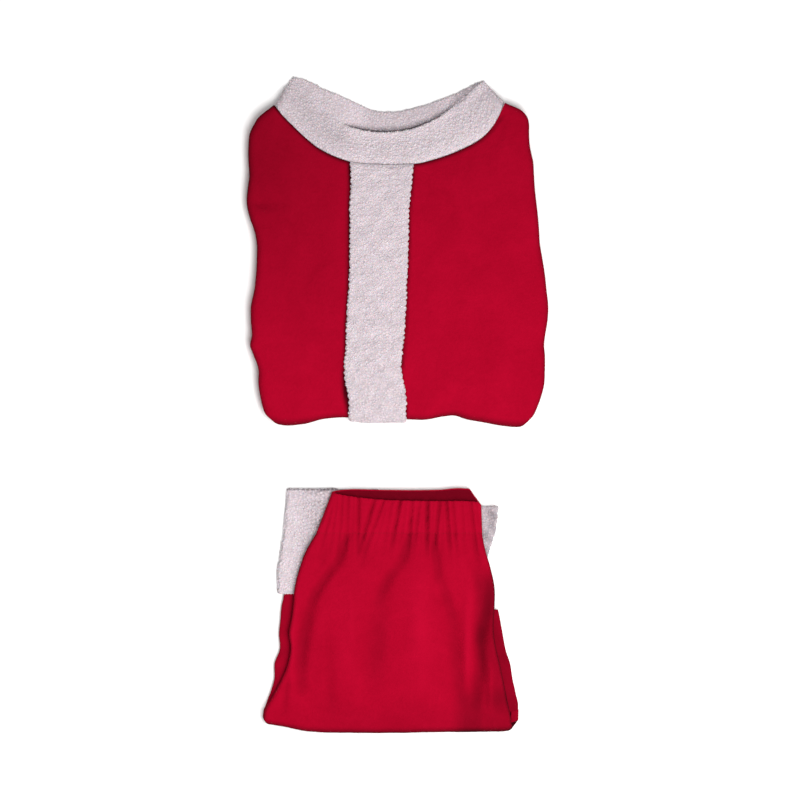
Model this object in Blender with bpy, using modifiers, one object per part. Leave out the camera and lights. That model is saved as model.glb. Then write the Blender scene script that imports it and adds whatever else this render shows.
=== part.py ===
"""A child's santa suit in two pieces, folded and laid out flat.

The pullover has its sides and sleeves turned behind it and its lower third turned under.
The pull-on trousers have both legs turned up behind them. Both lie face up, the pullover
above the trousers. Tables are in millimetres: u runs to the right across a garment and v
runs up it from the fold at its bottom edge. The built meshes are in metres.
"""

import math

import bmesh
import bpy
import numpy as np

MM = 0.001

# Cloth
FLEECE = 2.2  # red fleece, one layer
SHERPA = 4.2  # white curly pile on its backing
CASING = 3.6  # red fleece doubled over the waist elastic
SEAM = 0.3  # between pieces that are sewn together
LINING_ROOM = 0.8  # between a wall and the layers folded inside it
FOLD_ROOM = 2.2  # more of it round the fold at a garment's bottom edge
NOTCH = 9.0  # how much further in the layers' side notches run at that fold
GROOVE = 2.4  # how deep the groove between two folded layers runs in at an edge

# Where each garment's u, v origin lies, from the middle of the whole suit
PULLOVER_AT = (-21.0, -24.6)
TROUSERS_AT = (0.6, -394.2)

# Pullover
PULLOVER_THICK = 24.0
PULLOVER_ROLL = 9.0  # how far in a rolled side edge begins to turn down
PULLOVER_LEDGE = 8.0
PULLOVER_LIP = 5.0  # how far the front is tucked in under its rolled edge
PULLOVER_HEM = 0.24  # how far up the underside the turned-under hem reaches, of the length
COLLAR_MOUTH = 11.6  # height of the flattened collar at its open edge
COLLAR_SEAM_HEIGHT = 22.0  # and where it is sewn to the neckline

# Trousers
TROUSERS_THICK = 19.0
TROUSERS_WAIST_HEIGHT = 21.8
WAIST_DROP = 1.6  # how much lower the casing's open edge is
TROUSERS_ROLL = 5.0
TROUSERS_LIP = 4.0
LAYERS_LEDGE = 8.0
TROUSERS_HEM = 0.06
TROUSERS_STEP = 0.014  # where the layers step up over the legs, past the front's hem
TROUSERS_SUNK = 3.0  # how much lower than the front's plain form its lining layers lie
LEG_THICK = 7.8
CUFF_THICK = 9.4
CUFF_WALL = 3.3
LEG_ROOM = 1.0  # between the legs folded up and the front's tucked-in edges
GATHER_FADE = 22.0  # how far below the casing a gather dies away

# v, left edge, right edge of the folded pullover
PULLOVER_EDGES = [
    (0, -130, 176), (5, -136, 183), (12, -139, 186), (28, -143, 192), (47, -146, 197),
    (66, -146, 198), (84, -152, 198), (95, -156, 197), (106, -154, 198), (124, -155, 201),
    (143, -155, 202), (162, -151, 200), (181, -149, 198), (200, -148, 195), (218, -148, 192),
    (234, -151, 191), (248, -156, 190), (266, -160, 188), (284, -159, 186), (300, -157, 185),
    (316, -158, 184), (335, -158, 180), (352, -156, 179), (362, -151, 179), (370, -146, 177),
    (376, -139, 172.5), (380, -133.5, 167.5), (384, -128.5, 158), (387.5, -124, 150),
]
PULLOVER_TOP = (385.0, 387.5)  # v of the neck points, left and right

# u, front neckline, back neckline
NECKLINE = [
    (-127, 385, 385), (-112, 371, 374), (-96, 352, 363), (-77, 335, 353), (-55, 323, 345),
    (-34, 316, 341), (0, 313, 339), (28, 313, 339), (50, 315, 341), (70, 321, 346),
    (92, 331, 355), (112, 342, 363), (125, 350, 368), (139, 365, 373), (147, 376, 379),
    (151, 387, 387),
]

# u, the collar's open edge at the front, and at the back
COLLAR_EDGE = [
    (-106, 419, 419), (-94, 409, 417), (-80, 397, 411), (-64, 379, 403), (-46, 364, 396),
    (-28, 356, 387), (-10, 353, 379), (20, 353, 377), (40, 357, 381), (58, 364, 386),
    (76, 374, 393), (92, 387, 399), (108, 400, 407), (118, 409, 412), (125, 414, 414),
]

# v, left edge, right edge of the white band down the front
BAND_EDGES = [
    (0, -37, 31), (20, -38, 31), (40, -42, 28), (59, -43, 25), (78, -41, 27), (116, -40, 30),
    (164, -37, 32), (212, -36, 34), (260, -36, 35), (289, -35, 38), (312, -36, 40),
]

# u, how far the pullover's bottom fold lies above its lowest point
PULLOVER_RISE = [
    (-140, 6), (-113, 0), (-91, 2), (-62, 7), (-38, 8), (-19, 6), (24, 6), (60, 6), (76, 10),
    (89, 12), (103, 8), (125, 4), (146, 0), (175, 0), (184, 4),
]

# Soft folds of the pullover: u, v of each end, sideways bow, half width, height
PULLOVER_FOLDS = [
    (-158, 262, -112, 254, 3, 7, -2.6),
    (62, 2, 98, 44, 4, 9, -1.8),
    (110, 40, 185, 150, 20, 26, 1.6),
    (-120, 60, -60, 130, 12, 24, 1.4),
    (80, 250, 150, 330, -14, 28, 1.2),
    (-125, 300, -70, 200, 10, 24, 1.0),
    (60, 120, 120, 250, 10, 20, -0.8),
    (-105, 150, -75, 260, 8, 16, -0.8),
]

# v, left edge, right edge of the trousers' front, and of the legs folded up behind it
FRONT_EDGES = [
    (0, -156, 133), (5, -159, 135), (10, -160, 136), (20, -160, 135), (34, -154, 132),
    (50, -146, 129), (65, -139, 126), (84, -132, 122), (101, -129, 118), (120, -131, 115),
    (137, -128, 115), (152, -126, 116), (175, -124, 116), (199, -118, 111), (220, -110, 105),
    (234, -102, 102), (242, -97, 101),
]
LEG_EDGES = [
    (0, -157, 136), (6, -161, 140), (18, -162, 144), (34, -158, 145), (50, -153, 142),
    (62, -150, 139), (84, -149, 136), (98, -144, 131), (120, -144, 127), (142, -142, 123),
    (170, -137, 118),
]
WAIST_SEAM = 240.0  # v of the casing's lower stitching

# u, how far the trousers' bottom fold lies above its lowest point
TROUSERS_RISE = [
    (-162, 11), (-145, 8), (-126, 5), (-112, 3), (-90, 1), (-58, 0), (0, 0), (50, 1), (90, 1),
    (114, 2), (128, 4), (136, 7), (146, 12),
]

# Soft folds of the trousers: u, v of each end, sideways bow, half width, height
TROUSERS_FOLDS = [
    (-62, 236, -88, 198, 2, 6, -2.4),
    (-80, 214, -112, 48, -14, 7, -2.8),
    (14, 238, 2, 200, 1, 6, -2.2),
    (4, 214, -26, 60, -12, 11, -2.4),
    (45, 222, 50, 186, 0, 5, -2.2),
    (50, 200, 67, 66, 5, 8, -2.0),
    (104, 196, 98, 44, 8, 8, -2.6),
    (113, 92, 115, 20, 0, 6, 1.4),
    (-126, 150, -120, 60, 3, 6, 1.2),
    (20, 150, 24, 60, 0, 16, 1.2),
    (-66, 150, -62, 50, 0, 14, 1.0),
    (-132, 60, -135, 24, 0, 4, -1.0),
]

# The waist gathers: u at the casing's stitching, u at its open edge, half width, depth
GATHERS = [
    (-80, -72, 3.2, 0.9), (-67, -59, 3.4, 1.2), (-50, -42, 3.6, 1.5), (-35, -28, 3.4, 1.4),
    (-20, -12, 3.6, 1.1), (-5, 1, 3.2, 1.3), (7, 11, 3.0, 1.6), (17, 20, 3.0, 1.3),
    (27, 28, 3.2, 2.0), (37, 38, 3.2, 1.8), (47, 47, 3.2, 1.4), (57, 57, 3.0, 1.2),
    (67, 66, 3.2, 1.0), (78, 76, 3.4, 0.9), (90, 89, 3.4, 0.9),
]

# u, v of the casing's open edge at the front, and at the back
WAIST_MOUTH = [
    (-79, 293, 293), (-60, 290, 294), (-22, 285, 295), (26, 283, 295), (60, 282, 295),
    (88, 282, 295), (97, 281, 286), (100, 279, 279),
]

# v, outer edge, inner edge of each leg's white cuff
LEFT_CUFF = [(167.5, -145, -34), (188, -146, -33), (209, -143, -30), (245, -138, -26), (293, -134, -22)]
RIGHT_CUFF = [(148.5, 96, -10), (176, 101, -6), (218, 110, 2), (245, 118, 9), (272, 121, 12)]

RED = (0.42, 0.004, 0.022, 1.0)
WHITE = (0.68, 0.60, 0.62, 1.0)


def smooth(rows, column, at):
    """One column of a table at any values of its first column, on a curve through the rows."""
    table = np.array(rows, float)
    keys = table[:, 0]
    values = table[:, column]
    at = np.clip(np.asarray(at, float), keys[0], keys[-1])
    low = np.clip(np.searchsorted(keys, at, side="right") - 1, 0, len(keys) - 2)
    slopes = np.gradient(values, keys)
    span = keys[low + 1] - keys[low]
    part = (at - keys[low]) / span
    rest = 1 - part
    return (
        (1 + 2 * part) * rest**2 * values[low]
        + part * rest**2 * span * slopes[low]
        + part**2 * (3 - 2 * part) * values[low + 1]
        - part**2 * rest * span * slopes[low + 1]
    )


def ease(start, end, at):
    """0 before start, 1 after end, turning smoothly between them."""
    part = np.clip((np.asarray(at, float) - start) / (end - start), 0, 1)
    return part * part * (3 - 2 * part)


def relief(folds, u, v):
    """The height that soft folds add at u, v: each is a bowed trough or ridge with soft ends."""
    height = np.zeros(np.broadcast(u, v).shape)
    for u0, v0, u1, v1, bow, half_width, rise in folds:
        du, dv = u1 - u0, v1 - v0
        length = math.hypot(du, dv)
        along = ((u - u0) * du + (v - v0) * dv) / length**2
        aside = ((u - u0) * dv - (v - v0) * du) / length
        inside = np.clip(along, 0, 1)
        aside = aside - bow * 4 * inside * (1 - inside)
        past = (along - inside) * length
        ends = 0.35 + 0.65 * np.sin(math.pi * inside)
        height = height + rise * ends * np.exp(-(aside**2 + past**2) / half_width**2)
    return height


def gather_relief(u, v):
    """The troughs that the elastic draws into the casing, dying away below its stitching."""
    up = (v - WAIST_SEAM) / 44.0
    strength = np.where(v < WAIST_SEAM, np.exp(-((WAIST_SEAM - v) / GATHER_FADE) ** 2), 1.0)
    height = np.zeros(np.broadcast(u, v).shape)
    for at_seam, at_mouth, half_width, depth in GATHERS:
        middle = at_seam + (at_mouth - at_seam) * up
        height = height - depth * np.exp(-(((u - middle) / half_width) ** 2))
    return height * strength


def bottom_rise(table, u, v):
    """How far a garment's uneven bottom fold shifts what lies above it, less and less with v."""
    return smooth(table, 1, u) * np.exp(-np.maximum(v, 0) / 45.0)


class FoldedGarment:
    """A garment turned under along a fold across its bottom, as one path up its length.

    The path runs from 1 at the top of the face, to 0 where the fold begins, to -1 where it
    ends, to -2 at the top of the underside. A column is a place across: from the tucked-in
    lip, round the rolled side edge by its angle, over the flat face by its fraction.
    """

    def __init__(
        self, thick, roll, ledge, top, edges, under_edges, lines, face, lip_height, under, rise, top_slant
    ):
        self.axis = thick / 2
        self.roll = roll
        self.ledge = ledge  # the level strip between a rolled edge and the evenly divided face
        self.top_slant = top_slant  # 1 where the top line meets slanting edges, 0 where square
        self.top = top
        self.edges = edges
        self.under_edges = under_edges
        self.lines = lines  # the top line of the face and of the underside, by u
        self.face = face  # the face's height, by u and v
        self.lip_height = lip_height
        self.under = under  # how far the underside is pressed in, by u and climb
        self.rise = rise

    def side(self, path, which, inset):
        """Plan points in from a side edge, at right angles to it. which is 0 left, 1 right."""
        path, inset = np.broadcast_arrays(path, inset)
        turn = np.clip(-path, 0, 1)
        climb = np.where(path > 0, path, np.where(path < -1, -1 - path, 0))
        v = self.axis + climb * (self.top[which] - self.axis)
        key = np.where((turn > 0) & (turn < 1), self.axis * (1 - np.sin(math.pi * turn)), v)

        def edge(at):
            face_edge = smooth(self.edges, 1 + which, at)
            return face_edge + turn * (smooth(self.under_edges, 1 + which, at) - face_edge)

        slope = np.clip((edge(key + 1) - edge(key - 1)) / 2, -2.3, 2.3)
        slope = slope * ease(0.08, 0.22, climb) * (1 - (1 - self.top_slant) * ease(0.85, 1.0, climb))
        size = np.sqrt(1 + slope**2)
        outward = 2 * which - 1
        return edge(key) - outward / size * inset, v + outward * slope / size * inset

    def grid(self, path, fraction, angle, lip, out):
        """Points of the outer face, moved out. path is a column, the rest broadcast to it."""
        turn = np.clip(-path, 0, 1)
        climb = np.where(path > 0, path, np.where(path < -1, -1 - path, 0))
        level = self.roll + self.ledge
        left_u, left_v = self.side(path, 0, level)
        right_u, right_v = self.side(path, 1, level)
        u = left_u + fraction * (right_u - left_u)
        end = np.where(path > -0.5, 1.0, -2.0)
        end_left_u, end_left_v = self.side(end, 0, level)
        end_right_u, end_right_v = self.side(end, 1, level)
        end_u = end_left_u + fraction * (end_right_u - end_left_u)
        goal = np.where(path > -0.5, self.lines[0](end_u), self.lines[1](end_u))
        v = self.axis + climb * (goal - self.axis)
        v = v + (left_v - self.axis - climb * (end_left_v - self.axis)) * (1 - fraction) ** 4
        v = v + (right_v - self.axis - climb * (end_right_v - self.axis)) * fraction**4
        high = self.face(u, v) * (1 - turn) + (2 * self.axis - self.under(u, climb)) * turn
        low = self.lip_height(v) * (1 - turn) + (self.axis + 1.0) * turn
        height = (high + low) / 2 + ((high - low) / 2 + out) * np.sin(angle)
        inset = (self.roll + out) * (1 - np.cos(angle)) - out + lip
        for which in (0, 1):
            at_side = (fraction == which) & (angle < math.pi / 2 + 1e-9)
            side_u, side_v = self.side(path, which, inset)
            u = np.where(at_side, side_u, u)
            v = np.where(at_side, side_v, v)
        lift = height - self.axis
        height = self.axis + lift * np.cos(math.pi * turn)
        v = v - lift * np.sin(math.pi * turn)
        v = v + bottom_rise(self.rise, u, v)
        return np.stack(np.broadcast_arrays(u, v, height), axis=-1)


def spread(count):
    """Fractions strictly between 0 and 1, closer together towards the ends."""
    even = np.linspace(0, 1, count + 2)[1:-1]
    return 0.45 * even + 0.55 * (1 - np.cos(math.pi * even)) / 2


def columns(flat_count, angles, lip, ledge):
    """Fractions, angles and insets of the columns from the left lip to the right lip."""
    turned = np.radians([angles[0], *angles] + [90] * (ledge > 0))
    tucked = np.zeros(len(turned))
    tucked[0] = lip
    if ledge > 0:
        tucked[-1] = ledge
    flat = spread(flat_count)
    side = np.ones(len(turned))
    fraction = np.concatenate([0 * side, flat, side])
    angle = np.concatenate([turned, np.full(flat_count, math.pi / 2), turned[::-1]])
    inset = np.concatenate([tucked, np.zeros(flat_count), tucked[::-1]])
    return fraction[None, :], angle[None, :], inset[None, :]


def new_object(name, points, faces, material, collection, origin):
    """A mesh object from points in a garment's own millimetres."""
    place = (np.asarray(points).reshape(-1, 3) + (origin[0], origin[1], 0.0)) * MM
    mesh = bpy.data.meshes.new(name)
    mesh.from_pydata(place.tolist(), [], faces)
    mesh.materials.append(material)
    work = bmesh.new()
    work.from_mesh(mesh)
    bmesh.ops.recalc_face_normals(work, faces=work.faces)
    work.to_mesh(mesh)
    work.free()
    mesh.shade_smooth()
    mesh.set_sharp_from_angle(angle=math.radians(50))
    obj = bpy.data.objects.new(name, mesh)
    collection.objects.link(obj)
    return obj


def grid_faces(row_count, column_count, round_columns=False):
    """Quads between neighbouring rows and columns, closed round if asked."""
    faces = []
    for row in range(row_count - 1):
        for column in range(column_count if round_columns else column_count - 1):
            after = (column + 1) % column_count
            here = row * column_count
            above = here + column_count
            faces.append((here + column, here + after, above + after, above + column))
    return faces


def cloth_wall(name, grid, wall, material, collection, origin, round_columns=False):
    """An open sheet of points given its thickness inwards with Solidify."""
    rows, count = grid.shape[:2]
    obj = new_object(name, grid, grid_faces(rows, count, round_columns), material, collection, origin)
    outward = np.array([polygon.normal for polygon in obj.data.polygons])
    centres = np.array([polygon.center for polygon in obj.data.polygons])
    if np.mean(outward[:, 2] * (centres[:, 2] - centres[:, 2].mean())) < 0:
        obj.data.flip_normals()
    solid = obj.modifiers.new("Cloth thickness", "SOLIDIFY")
    solid.thickness = wall * MM
    solid.offset = -1
    return obj


def folded_layers(name, grid, nose, side, material, collection, origin):
    """The hidden layers: a closed solid from the rows of a folded grid.

    The rows of the face and of the underside meet in pairs at the tucked-in side notches.
    The open end is closed over the nose rows, and by one flat face at each side edge, which
    has a number of columns called side.
    """
    rows, count = grid.shape[:2]
    first, last = side - 1, count - side
    nose_count = last - first + 1
    points = np.concatenate([grid.reshape(-1, 3), nose[:, first : last + 1].reshape(-1, 3)])
    faces = grid_faces(rows, count)
    cap = [[(rows - 1) * count + column for column in range(first, last + 1)]]
    for row in range(len(nose)):
        start = rows * count + row * nose_count
        cap.append(list(range(start, start + nose_count)))
    cap.append(list(range(first, last + 1)))
    for low, high in zip(cap, cap[1:]):
        for here in range(nose_count - 1):
            faces.append([low[here], low[here + 1], high[here + 1], high[here]])
    for columns_in, end in ((range(first, -1, -1), 0), (range(last, count), -1)):
        face_row = list(columns_in)
        under_row = [(rows - 1) * count + column for column in reversed(face_row)]
        faces.append(face_row + under_row + [row[end] for row in cap[1:-1]])
    for column in (0, count - 1):
        for row in range(rows // 2):
            corners = dict.fromkeys([row, row + 1, rows - 2 - row, rows - 1 - row])
            if len(corners) > 2:
                faces.append([corner * count + column for corner in corners])
    return new_object(name, points, faces, material, collection, origin)


def ring_places(flat_front, flat_back, angles, ledge):
    """Places round a flattened ring, from its left fold over the front and back underneath.

    Each has its fraction across, its angle in the fold, its further inset, its level from
    -1 below to 1 above, and whether it belongs to the back.
    """
    turned = [(math.radians(angle), 0.0) for angle in angles] + [(math.pi / 2, ledge)] * (ledge > 0)
    front = [(0.0, angle, inset) for angle, inset in turned]
    front += [(fraction, math.pi / 2, 0.0) for fraction in spread(flat_front)]
    front += [(1.0, angle, inset) for angle, inset in turned[::-1]]
    back = [(1.0, angle, inset) for angle, inset in turned[1:]]
    back += [(fraction, math.pi / 2, 0.0) for fraction in spread(flat_back)[::-1]]
    back += [(0.0, angle, inset) for angle, inset in turned[:0:-1]]
    places = [(*place, math.sin(place[1]), 0) for place in front]
    places += [(*place, -math.sin(place[1]), 1) for place in back]
    return np.array(places)


def cleared_scene():
    for obj in list(bpy.data.objects):
        bpy.data.objects.remove(obj, do_unlink=True)
    collection = bpy.data.collections.new("Santa suit")
    bpy.context.scene.collection.children.link(collection)
    return collection


def cloth_material(name, colour, roughness):
    material = bpy.data.materials.new(name)
    material.use_nodes = True
    shader = material.node_tree.nodes["Principled BSDF"]
    shader.inputs["Base Color"].default_value = colour
    shader.inputs["Roughness"].default_value = roughness
    shader.inputs["Metallic"].default_value = 0.0
    return material


def pullover_garment():
    def face(u, v):
        dome = 1.2 * np.cos(np.clip((u - 20) / 190, -1, 1) * math.pi / 2)
        below = smooth(NECKLINE, 1, u) - v
        drop = 3.2 * ease(46, 0, below)
        return PULLOVER_THICK + dome - drop + relief(PULLOVER_FOLDS, u, v)

    def under(u, climb):
        beside_band = ease(-95, -67, u) * ease(85, 58, u)
        return BAND_OUT * beside_band * ease(PULLOVER_HEM + 0.14, PULLOVER_HEM + 0.02, climb)

    return FoldedGarment(
        thick=PULLOVER_THICK,
        roll=PULLOVER_ROLL,
        ledge=PULLOVER_LEDGE,
        top_slant=1.0,
        top=PULLOVER_TOP,
        edges=PULLOVER_EDGES,
        under_edges=PULLOVER_EDGES,
        lines=(lambda u: smooth(NECKLINE, 1, u), lambda u: smooth(NECKLINE, 2, u)),
        face=face,
        lip_height=lambda v: np.full(np.shape(v), PULLOVER_THICK / 2 + 1.0),
        under=under,
        rise=PULLOVER_RISE,
    )


FACE_STEPS = [1.0, 0.98, 0.95, 0.91, 0.85, 0.78, 0.71, 0.64, 0.57, 0.50, 0.43, 0.36, 0.30]
FOOT_STEPS = [0.18, 0.12, 0.06, 0.02]
FOLD_STEPS = [0.0, -0.15, -0.3, -0.5, -0.7, -0.85, -1.0]
ROLL_ANGLES = [-90, -45, 0, 45, 90]
BAND_OUT = SHERPA + 2 * SEAM
PULLOVER_FLAT = 14  # columns of points across the pullover's face


def lip_share(path):
    """The tucked-in lips shorten towards the top, where the rolled edges end."""
    climb = np.where(path > 0, path, np.where(path < -1, -1 - path, 0))
    return 1 - 0.85 * ease(0.75, 0.97, climb)


def make_pullover(collection, red, white):
    garment = pullover_garment()
    fraction, angle, lip = columns(PULLOVER_FLAT, ROLL_ANGLES, PULLOVER_LIP, PULLOVER_LEDGE)
    is_lip = angle == angle[0, 0]
    foot = [PULLOVER_HEM] + FOOT_STEPS
    path = np.array(FACE_STEPS + foot + FOLD_STEPS + [-1 - step for step in foot[::-1]])[:, None]
    tucked = np.where(is_lip, lip * lip_share(path), lip)
    front = garment.grid(path, fraction, angle, tucked, 0.0)
    cloth_wall("pullover_front", front, FLEECE, red, collection, PULLOVER_AT)
    make_band(path, front, white, collection)
    make_pullover_layers(garment, collection, red)
    make_collar(garment, collection, white)


def make_band(path, front, white, collection):
    """The white band, from the points of the front that it is sewn on, moved out."""
    up = np.maximum(path, 0) * smooth(NECKLINE, 1, 0)
    left = smooth(BAND_EDGES, 1, up)
    right = smooth(BAND_EDGES, 2, up)
    u = left + np.linspace(0, 1, 6)[None, :] * (right - left)
    turned = math.pi * np.clip(-path[:, 0], 0, 1)
    flat = slice(len(ROLL_ANGLES) + 1, -len(ROLL_ANGLES) - 1)
    rows = []
    for at, place, turn in zip(u, front[:, flat], turned):
        v = np.interp(at, place[:, 0], place[:, 1]) - BAND_OUT * math.sin(turn)
        height = np.interp(at, place[:, 0], place[:, 2]) + BAND_OUT * math.cos(turn)
        rows.append(np.column_stack([at, v, height]))
    cloth_wall("pullover_front_band", np.array(rows), SHERPA, white, collection, PULLOVER_AT)


def make_pullover_layers(garment, collection, red):
    """The back, the sleeves and the turned-under part of the front, one on another."""
    fraction, angle, lip = columns(PULLOVER_FLAT, ROLL_ANGLES, PULLOVER_LIP, PULLOVER_LEDGE)
    hem = [PULLOVER_HEM + 0.01, PULLOVER_HEM + 0.003]
    face = [0.993] + FACE_STEPS[1:] + hem + FOOT_STEPS
    path = np.array(face + FOLD_STEPS + [-1 - step for step in face[::-1]])[:, None]
    in_wall = path > -1 - hem[0] + 0.001
    in_fold = (path <= 0) & (path >= -1)
    inward = np.where(in_wall, -(FLEECE + LINING_ROOM), 0.0) - np.where(in_fold, FOLD_ROOM, 0.0)
    is_lip = (angle == angle[0, 0]) & (lip > 0)
    inset = np.where(is_lip, lip * lip_share(path) + 1.2, lip)
    inset = inset + np.where((angle == 0) & ~in_wall, GROOVE, 0.0) + np.where(is_lip & in_fold, NOTCH, 0.0)
    layers = garment.grid(path, fraction, angle, inset, inward)
    middle = ease(0.0, 0.25, fraction[0]) * ease(1.0, 0.75, fraction[0])
    nose = []
    for share, forward, height in ((0.3, 24.0, 6.6), (0.6, 14.0, 13.0), (0.9, 0.0, 16.2)):
        row = layers[-1] + share * (layers[0] - layers[-1])
        ahead = np.minimum(layers[0][:, 1] + forward, layers[-1][:, 1] - 1.0)
        row[:, 1] += middle * (ahead - row[:, 1])
        row[:, 2] += middle * (height - row[:, 2])
        nose.append(row)
    side = len(ROLL_ANGLES) + 2
    folded_layers("pullover_folded_layers", layers, np.array(nose), side, red, collection, PULLOVER_AT)


def ring_row(garment, places, seam_path, mouth, share, height, floor):
    """One row round a flattened tube, from the garment's top line towards its open edge.

    seam_path is the path of the face's and the underside's top line. mouth is the table of
    the open edge: u, and its v at the front and at the back. share is how far up it lies.
    """
    fraction, angle, inset, level, back = places.T
    across = [part[None, :] for part in (fraction, angle, inset)]
    front_row = garment.grid(np.array([[seam_path[0]]]), *across, 0.0)[0]
    back_row = garment.grid(np.array([[seam_path[1]]]), *across, 0.0)[0]
    seam = np.where(back[:, None] > 0, back_row, front_row)
    low, high = seam[:, 0].min(), seam[:, 0].max()
    mouth_u = mouth[0][0] + (seam[:, 0] - low) / (high - low) * (mouth[-1][0] - mouth[0][0])
    mouth_v = np.where(back > 0, smooth(mouth, 2, mouth_u), smooth(mouth, 1, mouth_u))
    way = np.stack([mouth_u - seam[:, 0], mouth_v - seam[:, 1]], axis=-1)
    length = np.linalg.norm(way, axis=-1, keepdims=True)
    plan = seam[:, :2] + way / length * (3 * SEAM + share * (length - 3 * SEAM))
    return np.column_stack([plan, floor + (height - floor) / 2 * (1 + level)])


def make_collar(garment, collection, white):
    places = ring_places(PULLOVER_FLAT, PULLOVER_FLAT, [0, 30, 60, 90], PULLOVER_LEDGE)
    rows = []
    for share in (0.0, 0.2, 0.45, 0.7, 0.9, 1.0):
        drop = (1 + math.cos(math.pi * share)) / 2
        tall = COLLAR_MOUTH + (COLLAR_SEAM_HEIGHT - COLLAR_MOUTH) * drop
        rows.append(ring_row(garment, places, (1.0, -2.0), COLLAR_EDGE, share, tall, 0.0))
    cloth_wall("pullover_collar", np.array(rows), SHERPA, white, collection, PULLOVER_AT, True)


def trousers_garment(ledge, folds):
    """The trousers folded in half. folds adds the height of their folds and gathers."""

    def face(u, v):
        rise = (TROUSERS_WAIST_HEIGHT - TROUSERS_THICK) * ease(120, 236, v)
        return TROUSERS_THICK + rise + folds(u, v)

    def lip_height(v):
        return LEG_THICK + LEG_ROOM + 1.6 * (ease(34, 14, v) + ease(110, 145, v))

    def waist_line(u):
        return np.full(np.shape(u), WAIST_SEAM)

    return FoldedGarment(
        thick=TROUSERS_THICK,
        roll=TROUSERS_ROLL,
        ledge=ledge,
        top_slant=0.0,
        top=(WAIST_SEAM, WAIST_SEAM),
        edges=FRONT_EDGES,
        under_edges=LEG_EDGES,
        lines=(waist_line, waist_line),
        face=face,
        lip_height=lip_height,
        under=lambda u, climb: 0.0,
        rise=TROUSERS_RISE,
    )


TROUSERS_STEPS = [0.96, 0.91, 0.84, 0.75, 0.65, 0.55, 0.45, 0.35, 0.25, 0.16, 0.09]
TROUSERS_FOLD_STEPS = [0.0, -0.2, -0.4, -0.6, -0.8, -1.0]
TROUSERS_ANGLES = [-90, -50, -10, 30, 90]


def make_trousers(collection, red, white):
    garment = trousers_garment(0.0, lambda u, v: relief(TROUSERS_FOLDS, u, v) + gather_relief(u, v))
    path = [1.0] + TROUSERS_STEPS + [TROUSERS_HEM] + TROUSERS_FOLD_STEPS + [-1 - TROUSERS_HEM]
    path = np.array(path)[:, None]
    fraction, angle, lip = columns(37, TROUSERS_ANGLES, TROUSERS_LIP, 0)
    front = garment.grid(path, fraction, angle, lip * lip_share(path), 0.0)
    cloth_wall("trousers_front", front, FLEECE, red, collection, TROUSERS_AT)
    make_trousers_layers(collection, red)
    make_legs(collection, red, white)
    make_waistband(garment, collection, red)


def make_trousers_layers(collection, red):
    """The back of the trousers, inside the front's rolled edges and over the folded legs."""
    garment = trousers_garment(LAYERS_LEDGE, lambda u, v: 0.0)
    above_hem = [0.992] + TROUSERS_STEPS
    hem = [TROUSERS_HEM + TROUSERS_STEP, TROUSERS_HEM + 0.002]
    fraction, angle, lip = columns(14, TROUSERS_ANGLES, TROUSERS_LIP, LAYERS_LEDGE)
    path = np.array(above_hem + hem + TROUSERS_FOLD_STEPS + [-1 - hem[1]])[:, None]
    in_fold = (path <= hem[0]) & (path >= -1 - hem[1])
    inward = -(FLEECE + LINING_ROOM) - np.where(in_fold, 0.55 * FOLD_ROOM, 0.0)
    is_lip = (angle == angle[0, 0]) & (lip > 0)
    tucked = np.where(is_lip, lip * lip_share(path) + 1.2 + NOTCH * (in_fold & (path >= -1)), lip)
    wrapped = garment.grid(path, fraction, angle, tucked, inward)
    flat = (lip == LAYERS_LEDGE) | ((fraction > 0) & (fraction < 1))
    wrapped[..., 2] -= TROUSERS_SUNK * flat * ease(28, 50, wrapped[..., 1]) * (path > 0)
    step = np.arange(angle.shape[1])
    from_edge = np.minimum(step, step[::-1])[None, :]
    upright = np.full(angle.shape, math.pi / 2)
    above = np.array([hem[0]] + above_hem[::-1])[:, None]
    inset = TROUSERS_LIP * lip_share(above) + 1.2 + NOTCH * (above == hem[0]) + 0.3 * from_edge
    over_legs = garment.grid(above, fraction, upright, inset, -(FLEECE + LINING_ROOM))
    over_cuffs = (CUFF_THICK - LEG_THICK) * ease(122, 144, over_legs[..., 1])
    over_legs[..., 2] = LEG_THICK + LINING_ROOM + over_cuffs
    layers = np.concatenate([wrapped, over_legs])
    no_nose = np.zeros((0,) + layers.shape[1:])
    folded_layers("trousers_folded_layers", layers, no_nose, 7, red, collection, TROUSERS_AT)


def flat_ring(places, left, right, v, roll, thick, groove=0.0):
    """A flattened ring across u at v, from its left to its right edge, resting at height 0."""
    fraction, angle, _, level, _ = places.T
    inset = roll * (1 - np.cos(angle)) + groove * (angle == 0)
    across = left + roll + fraction * (right - left - 2 * roll)
    u = np.where(fraction == 0, left + inset, np.where(fraction == 1, right - inset, across))
    return np.column_stack([u, np.full(len(u), v), thick / 2 * (1 + level)])


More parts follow.
